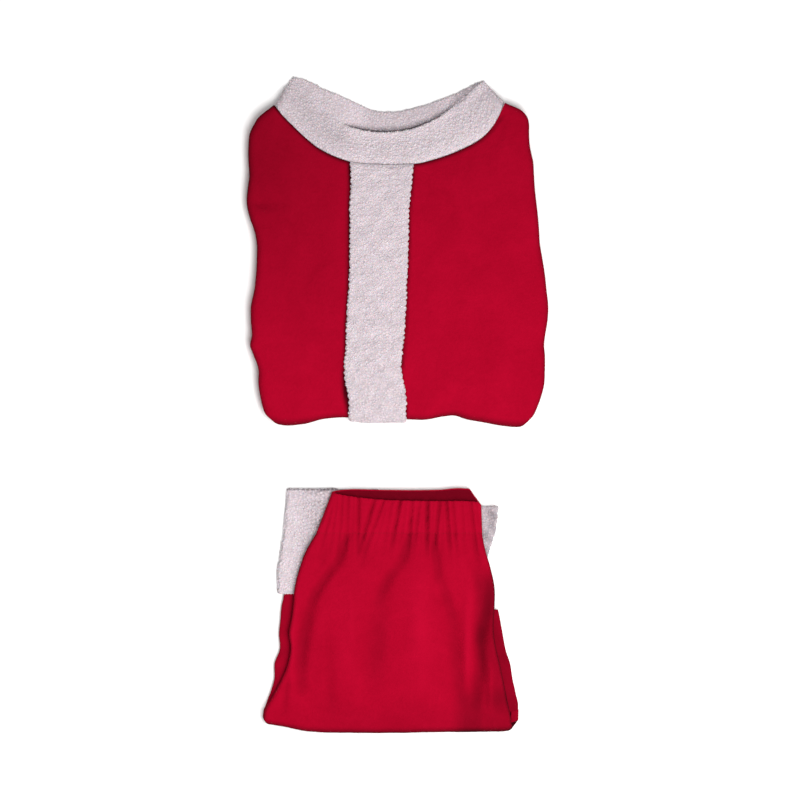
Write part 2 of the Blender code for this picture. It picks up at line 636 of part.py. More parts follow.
def make_legs(collection, red, white):
    axis = TROUSERS_THICK / 2
    start = axis + (TROUSERS_HEM + TROUSERS_STEP) * (WAIST_SEAM - axis) + 0.6
    inner = 1.2
    places = ring_places(5, 5, [0, 30, 60, 90], 0)
    for name, column, stop in (("left_leg_folded", 1, 167.0), ("right_leg_folded", 2, 148.0)):
        rings = []
        for v in np.linspace(start, stop, 9):
            outer = float(smooth(LEG_EDGES, column, v))
            middle = -inner - 12 * ease(105, 140, v) if column == 1 else inner + 6 * ease(60, 148, v)
            left, right = (outer, middle) if column == 1 else (middle, outer)
            ring = flat_ring(places, left, right, v, 5.0, LEG_THICK, GROOVE)
            ring[:, 1] += bottom_rise(TROUSERS_RISE, ring[:, 0], ring[:, 1])
            rings.append(ring)
        layered_slab(name, np.array(rings), red, collection)
    cuff_places = ring_places(7, 7, [0, 30, 60, 90], 0)
    for name, table in (("left_cuff", LEFT_CUFF), ("right_cuff", RIGHT_CUFF)):
        rings = []
        for v in np.linspace(table[0][0], table[-1][0], 7):
            edges = sorted((float(smooth(table, 1, v)), float(smooth(table, 2, v))))
            rings.append(flat_ring(cuff_places, edges[0], edges[1], v, 6.0, CUFF_THICK))
        cloth_wall(name, np.array(rings), CUFF_WALL, white, collection, TROUSERS_AT, True)


def layered_slab(name, rings, material, collection):
    """A closed solid through flattened rings."""
    rows, count = rings.shape[:2]
    faces = grid_faces(rows, count, True)
    faces.append(list(range(count)))
    faces.append([(rows - 1) * count + column for column in range(count)])
    return new_object(name, rings, faces, material, collection, TROUSERS_AT)


def make_waistband(garment, collection, red):
    places = ring_places(42, 16, [0, 30, 60, 90], 0)
    floor = CUFF_THICK + 0.4
    rows = []
    for share in (0.0, 0.35, 0.7, 1.0):
        tall = TROUSERS_WAIST_HEIGHT - WAIST_DROP * share
        row = ring_row(garment, places, (1.0, 1.0), WAIST_MOUTH, share, tall, floor)
        front = (places[:, 4] == 0) * (1 - np.cos(places[:, 1]))
        row[:, 2] += front * gather_relief(row[:, 0], row[:, 1])
        rows.append(row)
    cloth_wall("trousers_waistband", np.array(rows), CASING, red, collection, TROUSERS_AT, True)


def main():
    collection = cleared_scene()
    red = cloth_material("Red fleece", RED, 0.85)
    white = cloth_material("White sherpa", WHITE, 0.9)
    make_pullover(collection, red, white)
    make_trousers(collection, red, white)


main()
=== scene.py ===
"""The looks of a child's santa suit in two pieces, folded and laid out flat.

Tables are in millimetres in each garment's own plan: u runs to the right across it and v
runs up it from the fold at its bottom edge. The finished meshes are in metres.
"""

import math
from collections.abc import Callable
from dataclasses import dataclass

import bmesh
import bpy
import numpy as np
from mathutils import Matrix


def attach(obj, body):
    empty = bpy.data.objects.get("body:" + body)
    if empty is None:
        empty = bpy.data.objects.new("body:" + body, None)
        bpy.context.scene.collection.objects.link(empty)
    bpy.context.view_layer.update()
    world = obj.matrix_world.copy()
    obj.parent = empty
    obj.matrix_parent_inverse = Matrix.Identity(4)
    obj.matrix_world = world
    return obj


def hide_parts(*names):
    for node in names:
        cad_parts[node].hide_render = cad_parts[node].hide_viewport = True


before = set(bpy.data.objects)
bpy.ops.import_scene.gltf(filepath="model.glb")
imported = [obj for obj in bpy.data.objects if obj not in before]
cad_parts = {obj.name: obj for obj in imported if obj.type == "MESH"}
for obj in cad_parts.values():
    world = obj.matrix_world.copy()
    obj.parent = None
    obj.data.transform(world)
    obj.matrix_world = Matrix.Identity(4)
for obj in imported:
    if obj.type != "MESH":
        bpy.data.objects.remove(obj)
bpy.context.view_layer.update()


# ---------------- Pullover front
# Red polyester fleece in one layer, brushed soft on its face. Its sides are folded back
# behind it with the sleeves, and its lower third is turned under, so that no cut edge shows.

MM = 0.001
FLEECE = 1.8  # one layer
SEAM = 0.3  # between pieces that are sewn together
PULLOVER_AT = (-21.0, -24.6)  # where the garment's u, v origin lies
PULLOVER_THICK = 24.0
PULLOVER_ROLL = 9.0  # how far in a rolled side edge begins to turn down
PULLOVER_LEDGE = 8.0
PULLOVER_LIP = 5.0  # how far the front is tucked in under its rolled edge
PULLOVER_HEM = 0.24  # how far up the underside the turned-under hem reaches, of the length
BAND_STAND = 4.8  # how far the band's pile stands above the fleece
STEEPEST = 2.3  # the slope of an edge that the rows across it still follow

# v, left edge, right edge of the folded pullover
PULLOVER_EDGES = [
    (0, -130, 176), (5, -136, 183), (12, -139, 186), (28, -143, 192), (47, -146, 197),
    (66, -146, 198), (84, -152, 198), (95, -156, 197), (106, -154, 198), (124, -155, 201),
    (143, -155, 202), (162, -151, 200), (181, -149, 198), (200, -148, 195), (218, -148, 192),
    (234, -151, 191), (248, -156, 190), (266, -160, 188), (284, -159, 186), (300, -157, 185),
    (316, -158, 184), (335, -158, 180), (352, -156, 179), (362, -151, 179), (370, -146, 177),
    (376, -139, 172.5), (380, -133.5, 167.5), (384, -128.5, 158), (387.5, -124, 150),
]
PULLOVER_TOP = (385.0, 387.5)  # v of the neck points, left and right

# u, front neckline, back neckline
NECKLINE = [
    (-127, 385, 385), (-112, 368, 373), (-96, 351.5, 363), (-77, 335, 353), (-55, 323, 345),
    (-34, 316, 341), (0, 313, 339), (28, 313, 339), (50, 315, 341), (70, 320.5, 346),
    (92, 328.5, 355), (112, 338, 363), (125, 346.5, 368), (139, 361.5, 373), (147, 375, 379),
    (151, 387, 387),
]

# v, left edge, right edge of the white band down the front
BAND_EDGES = [
    (0, -37, 31), (20, -38, 31), (40, -42, 28), (59, -43, 25), (78, -41, 27), (116, -40, 30),
    (164, -37, 32), (212, -36, 34), (260, -36, 35), (289, -35, 38), (312, -36, 40),
]

# u, how far the pullover's bottom fold lies above its lowest point
PULLOVER_RISE = [
    (-140, 6), (-113, 0), (-91, 2), (-62, 7), (-38, 8), (-19, 6), (24, 6), (60, 6), (76, 10),
    (89, 12), (103, 8), (125, 4), (146, 0), (175, 0), (184, 4),
]

# Soft folds: u, v of each end, sideways bow, half width, height
PULLOVER_FOLDS = [
    (-162, 274, -118, 267, 2, 8, -3.6),
    (-158, 257, -122, 254, 2, 6, 1.1),
    (62, 2, 98, 44, 4, 9, -1.8),
    (110, 40, 185, 150, 20, 26, 1.6),
    (-120, 60, -60, 130, 12, 24, 1.4),
    (80, 250, 150, 330, -14, 28, 1.2),
    (-125, 300, -70, 200, 10, 24, 1.0),
    (60, 120, 120, 250, 10, 20, -0.8),
    (-105, 150, -75, 260, 8, 16, -0.8),
    (-154, 106, -118, 96, 2, 8, -0.9),
    (-150, 190, -122, 200, 2, 9, -0.7),
    (198, 98, 160, 110, -3, 10, -0.8),
    (192, 232, 158, 240, 3, 9, -0.7),
    (90, 60, 120, 20, 4, 12, 0.7),
    (-96, 24, -60, 60, 4, 12, -0.6),
    (130, 180, 150, 90, 6, 12, 0.6),
]


def smooth(rows, column, at):
    """One column of a table at any values of its first column, on a curve through the rows."""
    table = np.array(rows, float)
    keys = table[:, 0]
    values = table[:, column]
    at = np.clip(np.asarray(at, float), keys[0], keys[-1])
    low = np.clip(np.searchsorted(keys, at, side="right") - 1, 0, len(keys) - 2)
    slopes = np.gradient(values, keys)
    span = keys[low + 1] - keys[low]
    part = (at - keys[low]) / span
    rest = 1 - part
    return (
        (1 + 2 * part) * rest**2 * values[low]
        + part * rest**2 * span * slopes[low]
        + part**2 * (3 - 2 * part) * values[low + 1]
        - part**2 * rest * span * slopes[low + 1]
    )


def ease(start, end, at):
    """0 before start, 1 after end, turning smoothly between them."""
    part = np.clip((np.asarray(at, float) - start) / (end - start), 0, 1)
    return part * part * (3 - 2 * part)


def relief(folds, u, v):
    """The height that soft folds add at u, v: each is a bowed trough or ridge with soft ends."""
    height = np.zeros(np.broadcast(u, v).shape)
    for u0, v0, u1, v1, bow, half_width, rise in folds:
        du, dv = u1 - u0, v1 - v0
        length = math.hypot(du, dv)
        along = ((u - u0) * du + (v - v0) * dv) / length**2
        aside = ((u - u0) * dv - (v - v0) * du) / length
        inside = np.clip(along, 0, 1)
        aside = aside - bow * 4 * inside * (1 - inside)
        past = (along - inside) * length
        ends = 0.35 + 0.65 * np.sin(math.pi * inside)
        height = height + rise * ends * np.exp(-(aside**2 + past**2) / half_width**2)
    return height


def ripples(u, v, length, seed):
    """Soft uneven swells, each about length across, between about -1 and 1."""
    draw = np.random.default_rng(seed)
    total = np.zeros(np.broadcast(u, v).shape)
    for _ in range(8):
        way, start = draw.uniform(0, 2 * math.pi, 2)
        turn = 2 * math.pi / (length * draw.uniform(0.8, 2.2))
        total = total + np.sin(turn * (u * math.cos(way) + v * math.sin(way)) + start)
    return total / 4


def bottom_rise(table, u, v):
    """How far a garment's uneven bottom fold shifts what lies above it, less and less with v."""
    return smooth(table, 1, u) * np.exp(-np.maximum(v, 0) / 45.0)


def climb_of(path):
    """How far up the garment a path lies, from 0 at the fold to 1 at the top, on either side."""
    return np.where(path > 0, path, np.where(path < -1, -1 - path, 0))


@dataclass
class FoldedGarment:
    """A garment turned under along a fold across its bottom, as one path up its length.

    The path runs from 1 at the top of the face, to 0 where the fold begins, to -1 where it
    ends, to -2 at the top of the underside. A column is a place across: from the tucked-in
    lip, round the rolled side edge by its angle, over the flat face by its fraction.
    """

    axis: float  # height of the fold's middle
    roll: float
    ledge: float  # the level strip between a rolled edge and the evenly divided face
    top_slant: float  # 1 where the top line meets slanting edges, 0 where square
    top: tuple  # v of the top's left and right ends
    edges: list
    under_edges: list
    lines: tuple  # the top line of the face and of the underside, by u
    face: Callable  # the face's height, by u and v
    lip_height: Callable  # by v
    under: Callable  # how far the underside is pressed in, by u and climb
    rise: list

    def side(self, path, which, inset):
        """Plan points in from a side edge, at right angles to it. which is 0 left, 1 right."""
        path, inset = np.broadcast_arrays(path, inset)
        turn = np.clip(-path, 0, 1)
        climb = climb_of(path)
        v = self.axis + climb * (self.top[which] - self.axis)
        key = np.where((turn > 0) & (turn < 1), self.axis * (1 - np.sin(math.pi * turn)), v)

        def edge(at):
            face_edge = smooth(self.edges, 1 + which, at)
            return face_edge + turn * (smooth(self.under_edges, 1 + which, at) - face_edge)

        at = np.minimum(key, self.top[which] - 1.0)
        slope = np.clip((edge(at + 1) - edge(at - 1)) / 2, -STEEPEST, STEEPEST)
        square = (1 - self.top_slant) * ease(0.85, 1.0, climb)
        slope = slope * ease(0.08, 0.22, climb) * (1 - square)
        size = np.sqrt(1 + slope**2)
        outward = 2 * which - 1
        return edge(key) - outward / size * inset, v + outward * slope / size * inset

    def evened(self, u, v, free):
        """Draws the free points towards the middle of their neighbours, so no two rows cross."""
        u, v = np.array(u), np.array(v)
        free = np.broadcast_to(free, u.shape)[1:-1, 1:-1]
        for _ in range(30):
            for values in (u, v):
                near = values[:-2, 1:-1] + values[2:, 1:-1] + values[1:-1, :-2] + values[1:-1, 2:]
                values[1:-1, 1:-1] = np.where(free, near / 4, values[1:-1, 1:-1])
        return u, v

    def grid(self, path, fraction, angle, lip):
        """Points of the outer face. path is a column, the rest broadcast to it."""
        turn = np.clip(-path, 0, 1)
        climb = climb_of(path)
        level = self.roll + self.ledge
        end = np.where(path > -0.5, 1.0, -2.0)
        (left_u, left_v), (right_u, right_v) = (self.side(path, at, level) for at in (0, 1))
        ends = [self.side(end, at, level) for at in (0, 1)]
        u = left_u + fraction * (right_u - left_u)
        end_u = ends[0][0] + fraction * (ends[1][0] - ends[0][0])
        goal = np.where(path > -0.5, self.lines[0](end_u), self.lines[1](end_u))
        line = self.lines[0] if np.mean(path) > -0.5 else self.lines[1]
        v = self.axis + climb * (goal - self.axis)
        for side_v, (end_u, end_v), near in zip((left_v, right_v), ends, (1 - fraction, fraction)):
            v = v + (side_v - self.axis - climb * (end_v - self.axis)) * near**4
            v = v + climb * (end_v - line(end_u)) * near**24
        inset = self.roll * (1 - np.cos(angle)) + lip
        for which in (0, 1):
            at_side = (fraction == which) & (angle < math.pi / 2 + 1e-9)
            side_u, side_v = self.side(path, which, inset)
            u = np.where(at_side, side_u, u)
            v = np.where(at_side, side_v, v)
        if len(u) > 2:
            u, v = self.evened(u, v, (angle > math.pi / 2 - 1e-6) & (path > 0))
        high = self.face(u, v) * (1 - turn) + (2 * self.axis - self.under(u, climb)) * turn
        low = self.lip_height(v) * (1 - turn) + (self.axis + 1.0) * turn
        height = (high + low) / 2 + (high - low) / 2 * np.sin(angle)
        lift = height - self.axis
        height = self.axis + lift * np.cos(math.pi * turn)
        v = v - lift * np.sin(math.pi * turn)
        v = v + bottom_rise(self.rise, u, v)
        return np.stack(np.broadcast_arrays(u, v, height), axis=-1)


def spread(count):
    """Fractions strictly between 0 and 1, closer together towards the ends."""
    even = np.linspace(0, 1, count + 2)[1:-1]
    return 0.45 * even + 0.55 * (1 - np.cos(math.pi * even)) / 2


def columns(flat_count, angles, lips, ledges):
    """Fractions, angles and insets of the columns from the left lip to the right lip."""
    side = [(math.radians(angles[0]), inset) for inset in lips]
    side += [(math.radians(angle), 0.0) for angle in angles]
    side += [(math.pi / 2, inset) for inset in ledges]
    angle, inset = np.array(side).T
    flat = spread(flat_count)
    fraction = np.concatenate([0 * angle, flat, 0 * angle + 1])
    angle = np.concatenate([angle, np.full(flat_count, math.pi / 2), angle[::-1]])
    inset = np.concatenate([inset, np.zeros(flat_count), inset[::-1]])
    return fraction[None, :], angle[None, :], inset[None, :]


def path_down(face_rows, fold_rows, hem_rows, hem):
    """A path down the face, round the fold and up the underside to its hem, as a column."""
    face = np.linspace(1.0, 0.0, face_rows)
    fold = np.linspace(0.0, -1.0, fold_rows)[1:]
    return np.concatenate([face, fold, np.linspace(-1.0, -1 - hem, hem_rows)[1:]])[:, None]


def lip_share(path):
    """The tucked-in lips shorten towards the top, where the rolled edges end."""
    return 1 - 0.85 * ease(0.75, 0.97, climb_of(path))


def grid_faces(grid, closed=False):
    """Quads between a grid's neighbouring rows and columns, closed round if asked."""
    rows, count = grid.shape[:2]
    faces = []
    for row in range(rows - 1):
        for column in range(count if closed else count - 1):
            here = row * count + column
            after = row * count + (column + 1) % count
            faces.append([here, after, after + count, here + count])
    return faces


def add_object(name, data):
    obj = bpy.data.objects.new(name, data)
    bpy.context.scene.collection.objects.link(obj)
    return obj


def new_piece(name, points, faces, material, origin, shade=None, turned=False):
    """A mesh object from points in a garment's own millimetres. shade is painted shade on the
    cloth, and painted light where it is under 0.

    turned says that the faces already look outwards.
    """
    place = (np.asarray(points).reshape(-1, 3) + (*origin, 0.0)) * MM
    mesh = bpy.data.meshes.new(name)
    mesh.from_pydata(place.tolist(), [], faces)
    mesh.materials.append(material)
    if shade is not None:
        layer = mesh.attributes.new("shade", "FLOAT", "POINT")
        layer.data.foreach_set("value", np.asarray(shade, np.float32).ravel())
    work = bmesh.new()
    work.from_mesh(mesh)
    if not turned:
        bmesh.ops.recalc_face_normals(work, faces=work.faces)
    for face in work.faces:
        face.smooth = True
    for edge in work.edges:
        edge.smooth = not edge.is_boundary and edge.calc_face_angle(0.0) < 1.1
    work.to_mesh(mesh)
    work.free()
    return add_object(name, mesh)


def thicken(obj, wall):
    """Turns an open sheet's normals outwards and gives it its thickness inwards."""
    normals = np.array([polygon.normal for polygon in obj.data.polygons])
    centres = np.array([polygon.center for polygon in obj.data.polygons])
    if np.mean(normals[:, 2] * (centres[:, 2] - centres[:, 2].mean())) < 0:
        obj.data.flip_normals()
    solid = obj.modifiers.new("Cloth thickness", "SOLIDIFY")
    solid.thickness = wall * MM
    solid.offset = -1


def settle(obj, node):
    """The piece stands for its node: it hangs from the root, and the node's own mesh is hidden."""
    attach(obj, "root")
    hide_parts(node)


def feed(tree, node, inputs):
    """Sets a node's inputs, each to a value or to what another node puts out."""
    for title, value in inputs.items():
        if isinstance(value, bpy.types.NodeSocket):
            tree.links.new(value, node.inputs[title])
        else:
            node.inputs[title].default_value = value


def add_node(tree, kind, inputs, output=0, **settings):
    """One of a new node's outputs. settings are the node's own."""
    node = tree.nodes.new(kind)
    for title, value in settings.items():
        setattr(node, title, value)
    feed(tree, node, inputs)
    return node.outputs[output]


def math_node(tree, operation, *values):
    return add_node(tree, "ShaderNodeMath", dict(enumerate(values)), operation=operation)


def noise_node(tree, place, scale, detail=2.0, roughness=0.5, distortion=0.0):
    inputs = {"Vector": place, "Scale": scale, "Detail": detail}
    inputs |= {"Roughness": roughness, "Distortion": distortion}
    return add_node(tree, "ShaderNodeTexNoise", inputs, "Fac")


def map_range(tree, value, low, high, at_low=0.0, at_high=1.0):
    inputs = {"Value": value, "From Min": low, "From Max": high}
    inputs |= {"To Min": at_low, "To Max": at_high}
    return add_node(tree, "ShaderNodeMapRange", inputs, "Result")


def mix_colours(tree, share, first, second):
    inputs = {"Factor": share, "A": first, "B": second}
    return add_node(tree, "ShaderNodeMix", inputs, "Result", data_type="RGBA")


def group_ends(name, colours):
    """A new node group from some colours to a cloth's look, with its input and output nodes."""
    tree = bpy.data.node_groups.new(name, "ShaderNodeTree")
    for title, value in colours.items():
        socket = tree.interface.new_socket(title, in_out="INPUT", socket_type="NodeSocketColor")
        socket.default_value = value
    for title, kind in (("Colour", "Color"), ("Height", "Float"), ("Roughness", "Float")):
        tree.interface.new_socket(title, in_out="OUTPUT", socket_type="NodeSocket" + kind)
    return tree, tree.nodes.new("NodeGroupInput"), tree.nodes.new("NodeGroupOutput")


def pile_group(name, colours, layers, spread_out, rough, shade_strength):
    """A brushed or curly pile, from layers of noise.

    colours are the deep and the lit pile, then the pile in painted shade and in painted light.
    A layer holds its scale, detail, roughness and distortion, and its weights in the tone and
    in the height. spread_out and rough hold the tones between which the colour and the
    roughness run. The mesh's shade paints shade where it is over 0, and light where under 0.
    """
    tree, start, end = group_ends(name, colours)
    place = tree.nodes.new("ShaderNodeTexCoord").outputs["Object"]
    shade = add_node(tree, "ShaderNodeAttribute", {}, "Fac", attribute_name="shade")
    tone = height = 0.0
    for *noise, tone_weight, height_weight in layers:
        layer = noise_node(tree, place, *noise)
        tone = math_node(tree, "MULTIPLY_ADD", layer, tone_weight, tone)
        height = math_node(tree, "MULTIPLY_ADD", layer, height_weight, height)
    deep, lit, shade_tone, light_tone = (start.outputs[title] for title in colours)
    colour = mix_colours(tree, map_range(tree, tone, *spread_out), deep, lit)
    # painted shade where the mesh's shade is over 0, painted light where it is under 0
    colour = mix_colours(tree, math_node(tree, "MULTIPLY", shade, shade_strength), colour, shade_tone)
    colour = mix_colours(tree, math_node(tree, "MULTIPLY", shade, -1.0), colour, light_tone)
    rough = map_range(tree, tone, *rough)
    feed(tree, end, {"Colour": colour, "Height": height, "Roughness": rough})
    return tree


def cloth_material(name, group, bump, settings):
    """A Principled cloth whose colour, roughness and bump come from its node group."""
    material = bpy.data.materials.new(name)
    material.use_nodes = True
    tree = material.node_tree
    effect = tree.nodes.new("ShaderNodeGroup")
    effect.node_tree = group
    colour, height, rough = effect.outputs
    pressed = {"Height": height, "Strength": 1.0, "Distance": bump * MM}
    normal = add_node(tree, "ShaderNodeBump", pressed)
    varying = {"Base Color": colour, "Roughness": rough, "Normal": normal}
    feed(tree, tree.nodes["Principled BSDF"], varying | settings)
    return material


# Brushed fleece: a short fuzz in soft clumps, lying one way here and another there
FLEECE_COLOURS = {
    "Deep pile": (0.29, 0.0010, 0.0135, 1),
    "Lit pile": (0.36, 0.0014, 0.0185, 1),
    # The last two tones are painted shade and painted light, which the mesh's shade mixes in.
    "Fleece in painted shade": (0.03, 0.0008, 0.0028, 1),
    "Fleece in painted light": (0.52, 0.0030, 0.032, 1),
}

# Scale, detail, roughness and distortion of each layer, its weight in the tone, in the height
FLEECE_NAP = [
    (26.0, 3.0, 0.55, 0.4, 0.9, 0.0),  # patches
    (95.0, 3.0, 0.6, 1.2, 0.5, 1.1),  # brushed strokes
    (330.0, 3.0, 0.5, 0.0, 0.45, 0.9),  # clumps
    (1150.0, 3.0, 0.75, 0.0, 0.6, 0.8),  # fuzz
]
FLEECE_FINISH = {
    "Specular IOR Level": 0.015,
    "Sheen Weight": 0.06,
    "Sheen Roughness": 0.5,
    "Sheen Tint": (1.0, 0.03, 0.08, 1.0),
}
fleece_nap = pile_group(
    "Fleece nap",
    FLEECE_COLOURS,
    FLEECE_NAP,
    spread_out=(0.85, 1.6),
    rough=(0.8, 1.7, 0.95, 0.8),
    shade_strength=1.0,
)
red_fleece = cloth_material("Red fleece", fleece_nap, bump=0.55, settings=FLEECE_FINISH)


def pullover_face(u, v):
    dome = 1.2 * np.cos(np.clip((u - 20) / 190, -1, 1) * math.pi / 2)
    below = smooth(NECKLINE, 1, u) - v
    drop = 3.2 * ease(46, 0, below)
    swell = 0.35 * ripples(u, v, 34, 11) + 0.12 * ripples(u, v, 11, 12)
    return PULLOVER_THICK + dome - drop + relief(PULLOVER_FOLDS, u, v) + swell


def pullover_under(u, climb):
    beside_band = ease(-95, -67, u) * ease(85, 58, u)
    return BAND_STAND * beside_band * ease(PULLOVER_HEM + 0.14, PULLOVER_HEM + 0.02, climb)


pullover = FoldedGarment(
    axis=PULLOVER_THICK / 2,
    roll=PULLOVER_ROLL,
    ledge=PULLOVER_LEDGE,
    top_slant=1.0,
    top=PULLOVER_TOP,
    edges=PULLOVER_EDGES,
    under_edges=PULLOVER_EDGES,
    lines=(lambda u: smooth(NECKLINE, 1, u), lambda u: smooth(NECKLINE, 2, u)),
    face=pullover_face,
    lip_height=lambda v: np.full(np.shape(v), PULLOVER_THICK / 2 + 1.0),
    under=pullover_under,
    rise=PULLOVER_RISE,
)
front_path = path_down(145, 18, 22, PULLOVER_HEM)
FACE_LEDGES = (2.7, 5.4, PULLOVER_LEDGE)  # the columns on the level strip, from the roll
lips = (PULLOVER_LIP, PULLOVER_LIP / 2)
fraction, angle, lip = columns(122, np.arange(-90, 91, 12), lips, FACE_LEDGES)
tucked = np.where(angle == angle[0, 0], lip * lip_share(front_path), lip)
front_points = pullover.grid(front_path, fraction, angle, tucked)

# The hem's rows stay in order, at least 0.3 mm apart.
hem = front_path[:, 0] < -1
in_order = 0.3 * np.arange(np.count_nonzero(hem))[:, None]
hem_v = front_points[hem, :, 1] - in_order
front_points[hem, :, 1] = np.maximum.accumulate(hem_v, axis=0) + in_order


def edge_shade(path, angle):
    """Painted shade where the cloth turns away at a fold or round a rolled edge."""
    turned = np.sin(math.pi * np.clip(-path, 0, 1))
    aside = 1 - np.sin(np.clip(angle, 0, math.pi / 2))
    return 0.8 * np.maximum(aside**1.2, turned**2) * (path > -0.999)


def seam_shade(points):
    """Painted shade on the fleece beside the band and below the collar, which stand above it."""
    u, v = points[..., 0], points[..., 1]
    beside_left = smooth(BAND_EDGES, 1, v) - u
    beside_right = u - smooth(BAND_EDGES, 2, v)
    shade = 0.95 * np.exp(-((np.maximum(beside_left, 0) / 3.0) ** 2)) * (beside_left > -8)
    shade = shade + 0.75 * np.exp(-((np.maximum(beside_right, 0) / 2.4) ** 2)) * (beside_right > -8)
    below = smooth(NECKLINE, 1, u) - v
    shade = np.maximum(shade, 0.8 * np.exp(-((below / 3.2) ** 2)))
    return np.clip(shade, 0, 1) * (points[..., 2] > PULLOVER_THICK / 2)


def painted_falloff(u, v):
    """Painted shade, deeper towards the front's upper left and towards its top."""
    upper_left = 0.15 * ease(-60, -165, u) * ease(150, 330, v)
    left = 0.12 * ease(10, -80, u) * ease(40, 200, v)
    return upper_left + left + 0.11 * ease(90, 360, v)


pullover_front = new_piece(
    "fleece_front",
    front_points,
    grid_faces(front_points),
    red_fleece,
    PULLOVER_AT,
    # painted shade beside the band and collar, at the rolled edges and towards the upper left
    np.maximum(seam_shade(front_points), edge_shade(front_path, angle))
    + painted_falloff(front_points[..., 0], front_points[..., 1]),
)
thicken(pullover_front, FLEECE)
settle(pullover_front, "pullover_front")


# ---------------- Pullover back and sleeves
# The back, the sleeves and the turned-under hem, in the same fleece, lie on one another
# behind the front. Their rolled edges show as layers along both sides.

INWARDS = 1.0  # how far the layers' finer mesh is drawn in
LAYER_GAP = 0.8  # between the front and the layers behind it


def refined(node, name, voxel, origin, ceiling):
    """The hidden layers' own rounded form in a finer mesh, kept below the ceiling at u, v."""
    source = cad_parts[node].data
    work = bmesh.new()
    work.from_mesh(source)
    bmesh.ops.remove_doubles(work, verts=work.verts, dist=2e-5)
    mesh = bpy.data.meshes.new(name)
    work.to_mesh(mesh)
    work.free()
    rough = add_object(name + "_rough", mesh)
    remesh = rough.modifiers.new("Even mesh", "REMESH")
    remesh.mode = "VOXEL"
    remesh.voxel_size = voxel * MM
    even = rough.modifiers.new("Softened", "SMOOTH")
    even.factor = 0.5
    even.iterations = 4
    graph = bpy.context.evaluated_depsgraph_get()
    graph.update()
    made = bpy.data.meshes.new_from_object(rough.evaluated_get(graph))
    bpy.data.objects.remove(rough)
    points = np.array([vertex.co for vertex in made.vertices])
    normals = np.array([vertex.normal for vertex in made.vertices])
    faces = [tuple(polygon.vertices) for polygon in made.polygons]
    bpy.data.meshes.remove(made)
    local = points / MM - INWARDS * normals - (*origin, 0.0)
    low = min(vertex.co.z for vertex in source.vertices) / MM
    height = np.maximum(local[:, 2], low)
    local[:, 2] = np.minimum(height, ceiling(local[:, 0], local[:, 1]))
    return local, faces


def layer_edge(garment, which, paths, low, high, reach, seed):
    """One folded layer's rounded edge along a side, as a closed strip between two heights."""
    thick = high - low
    along, level = 300 * paths, 0 * paths
    wander = 0.8 * ripples(along, level, 60, seed) + 0.4 * ripples(along, level, 19, seed + 1)
    taper = ease(-2.0, -1.93, paths) * ease(-1.0, -1.06, paths)
    bend = np.radians(np.arange(-90, 91, 20))
    rows = []
    for path, shift, size in zip(paths, wander, taper):
        rounded = 0.6 + abs(shift) + (1 - size) * 3 + thick / 2 * (1 - np.cos(bend))
        inset = np.concatenate([[reach], rounded, [reach]])
        height = np.concatenate([[low], low + thick / 2 * (1 + np.sin(bend)), [high]])
        side_u, side_v = garment.side(np.full(len(inset), path), which, inset)
        side_v = side_v + bottom_rise(garment.rise, side_u, side_v)
        rows.append(np.column_stack([side_u, side_v, height]))
    return np.array(rows)


def strip_faces(grid):
    """A strip's quads, closed along its hidden inner side and at both ends."""
    rows, count = grid.shape[:2]
    ends = [list(range(count)), list(range((rows - 1) * count, rows * count))]
    return grid_faces(grid, True) + ends


def joined(parts):
    """Points and faces of several meshes as one."""
    points, faces, base = [], [], 0
    for some_points, some_faces in parts:
        flat = np.asarray(some_points).reshape(-1, 3)
        points.append(flat)
        faces += [[corner + base for corner in face] for face in some_faces]
        base += len(flat)
    return np.concatenate(points), faces


def below_front(u, v):
    return pullover_face(u, v - bottom_rise(PULLOVER_RISE, u, v)) - FLEECE - LAYER_GAP


back_parts = [refined("pullover_folded_layers", "layers_core", 4.0, PULLOVER_AT, below_front)]
side_paths = np.linspace(-1.02, -1.985, 120)
for which in (0, 1):
    for low, high, seed in ((0.1, 3.9, 21), (4.1, 7.9, 23), (8.0, 11.6, 25)):
        strip = layer_edge(pullover, which, side_paths, low, high, 16.0, seed + 10 * which)
        back_parts.append((strip, strip_faces(strip)))
pullover_layers = new_piece("fleece_back_and_sleeves", *joined(back_parts), red_fleece, PULLOVER_AT)
settle(pullover_layers, "pullover_folded_layers")


# ---------------- Front band
# White sherpa in one long strip down the middle of the front, from the collar over the
# turned-under hem: a dense curly pile on a knitted backing, sewn on along both edges.

SHERPA_COLOURS = {
    "Roots in painted shade": (0.52, 0.45, 0.485, 1),
    "Tips": (0.72, 0.63, 0.675, 1),
    # The last two tones are painted shade and painted light, which the mesh's shade mixes in.
    "Pile in painted shade": (0.15, 0.13, 0.145, 1),
    "Pile in painted light": (0.86, 0.785, 0.82, 1),
}
# The curls layer darkens the pile where its bump lies low, a painted shade in the creases between
# curls. The cloudy patches vary the tone at random.
SHERPA_NAP = [
    (560.0, 2.0, 0.6, 2.6, 0.7, 1.2),  # curls
    (60.0, 2.0, 0.5, 0.0, 0.35, 0.0),  # cloudy patches
    (2400.0, 3.0, 0.75, 0.0, 0.3, 0.7),  # fibres
]
SHERPA_FINISH = {
    "Specular IOR Level": 0.1,
    "Sheen Weight": 0.25,
    "Sheen Roughness": 0.5,
    "Subsurface Weight": 0.12,
    "Subsurface Scale": 0.002,
}
curly_pile = pile_group(
    "Curly pile",
    SHERPA_COLOURS,
    SHERPA_NAP,
    spread_out=(0.3, 1.0),
    rough=(0.0, 1.4, 1.0, 0.85),
    shade_strength=0.74,
)
white_sherpa = cloth_material("White sherpa", curly_pile, bump=0.5, settings=SHERPA_FINISH)

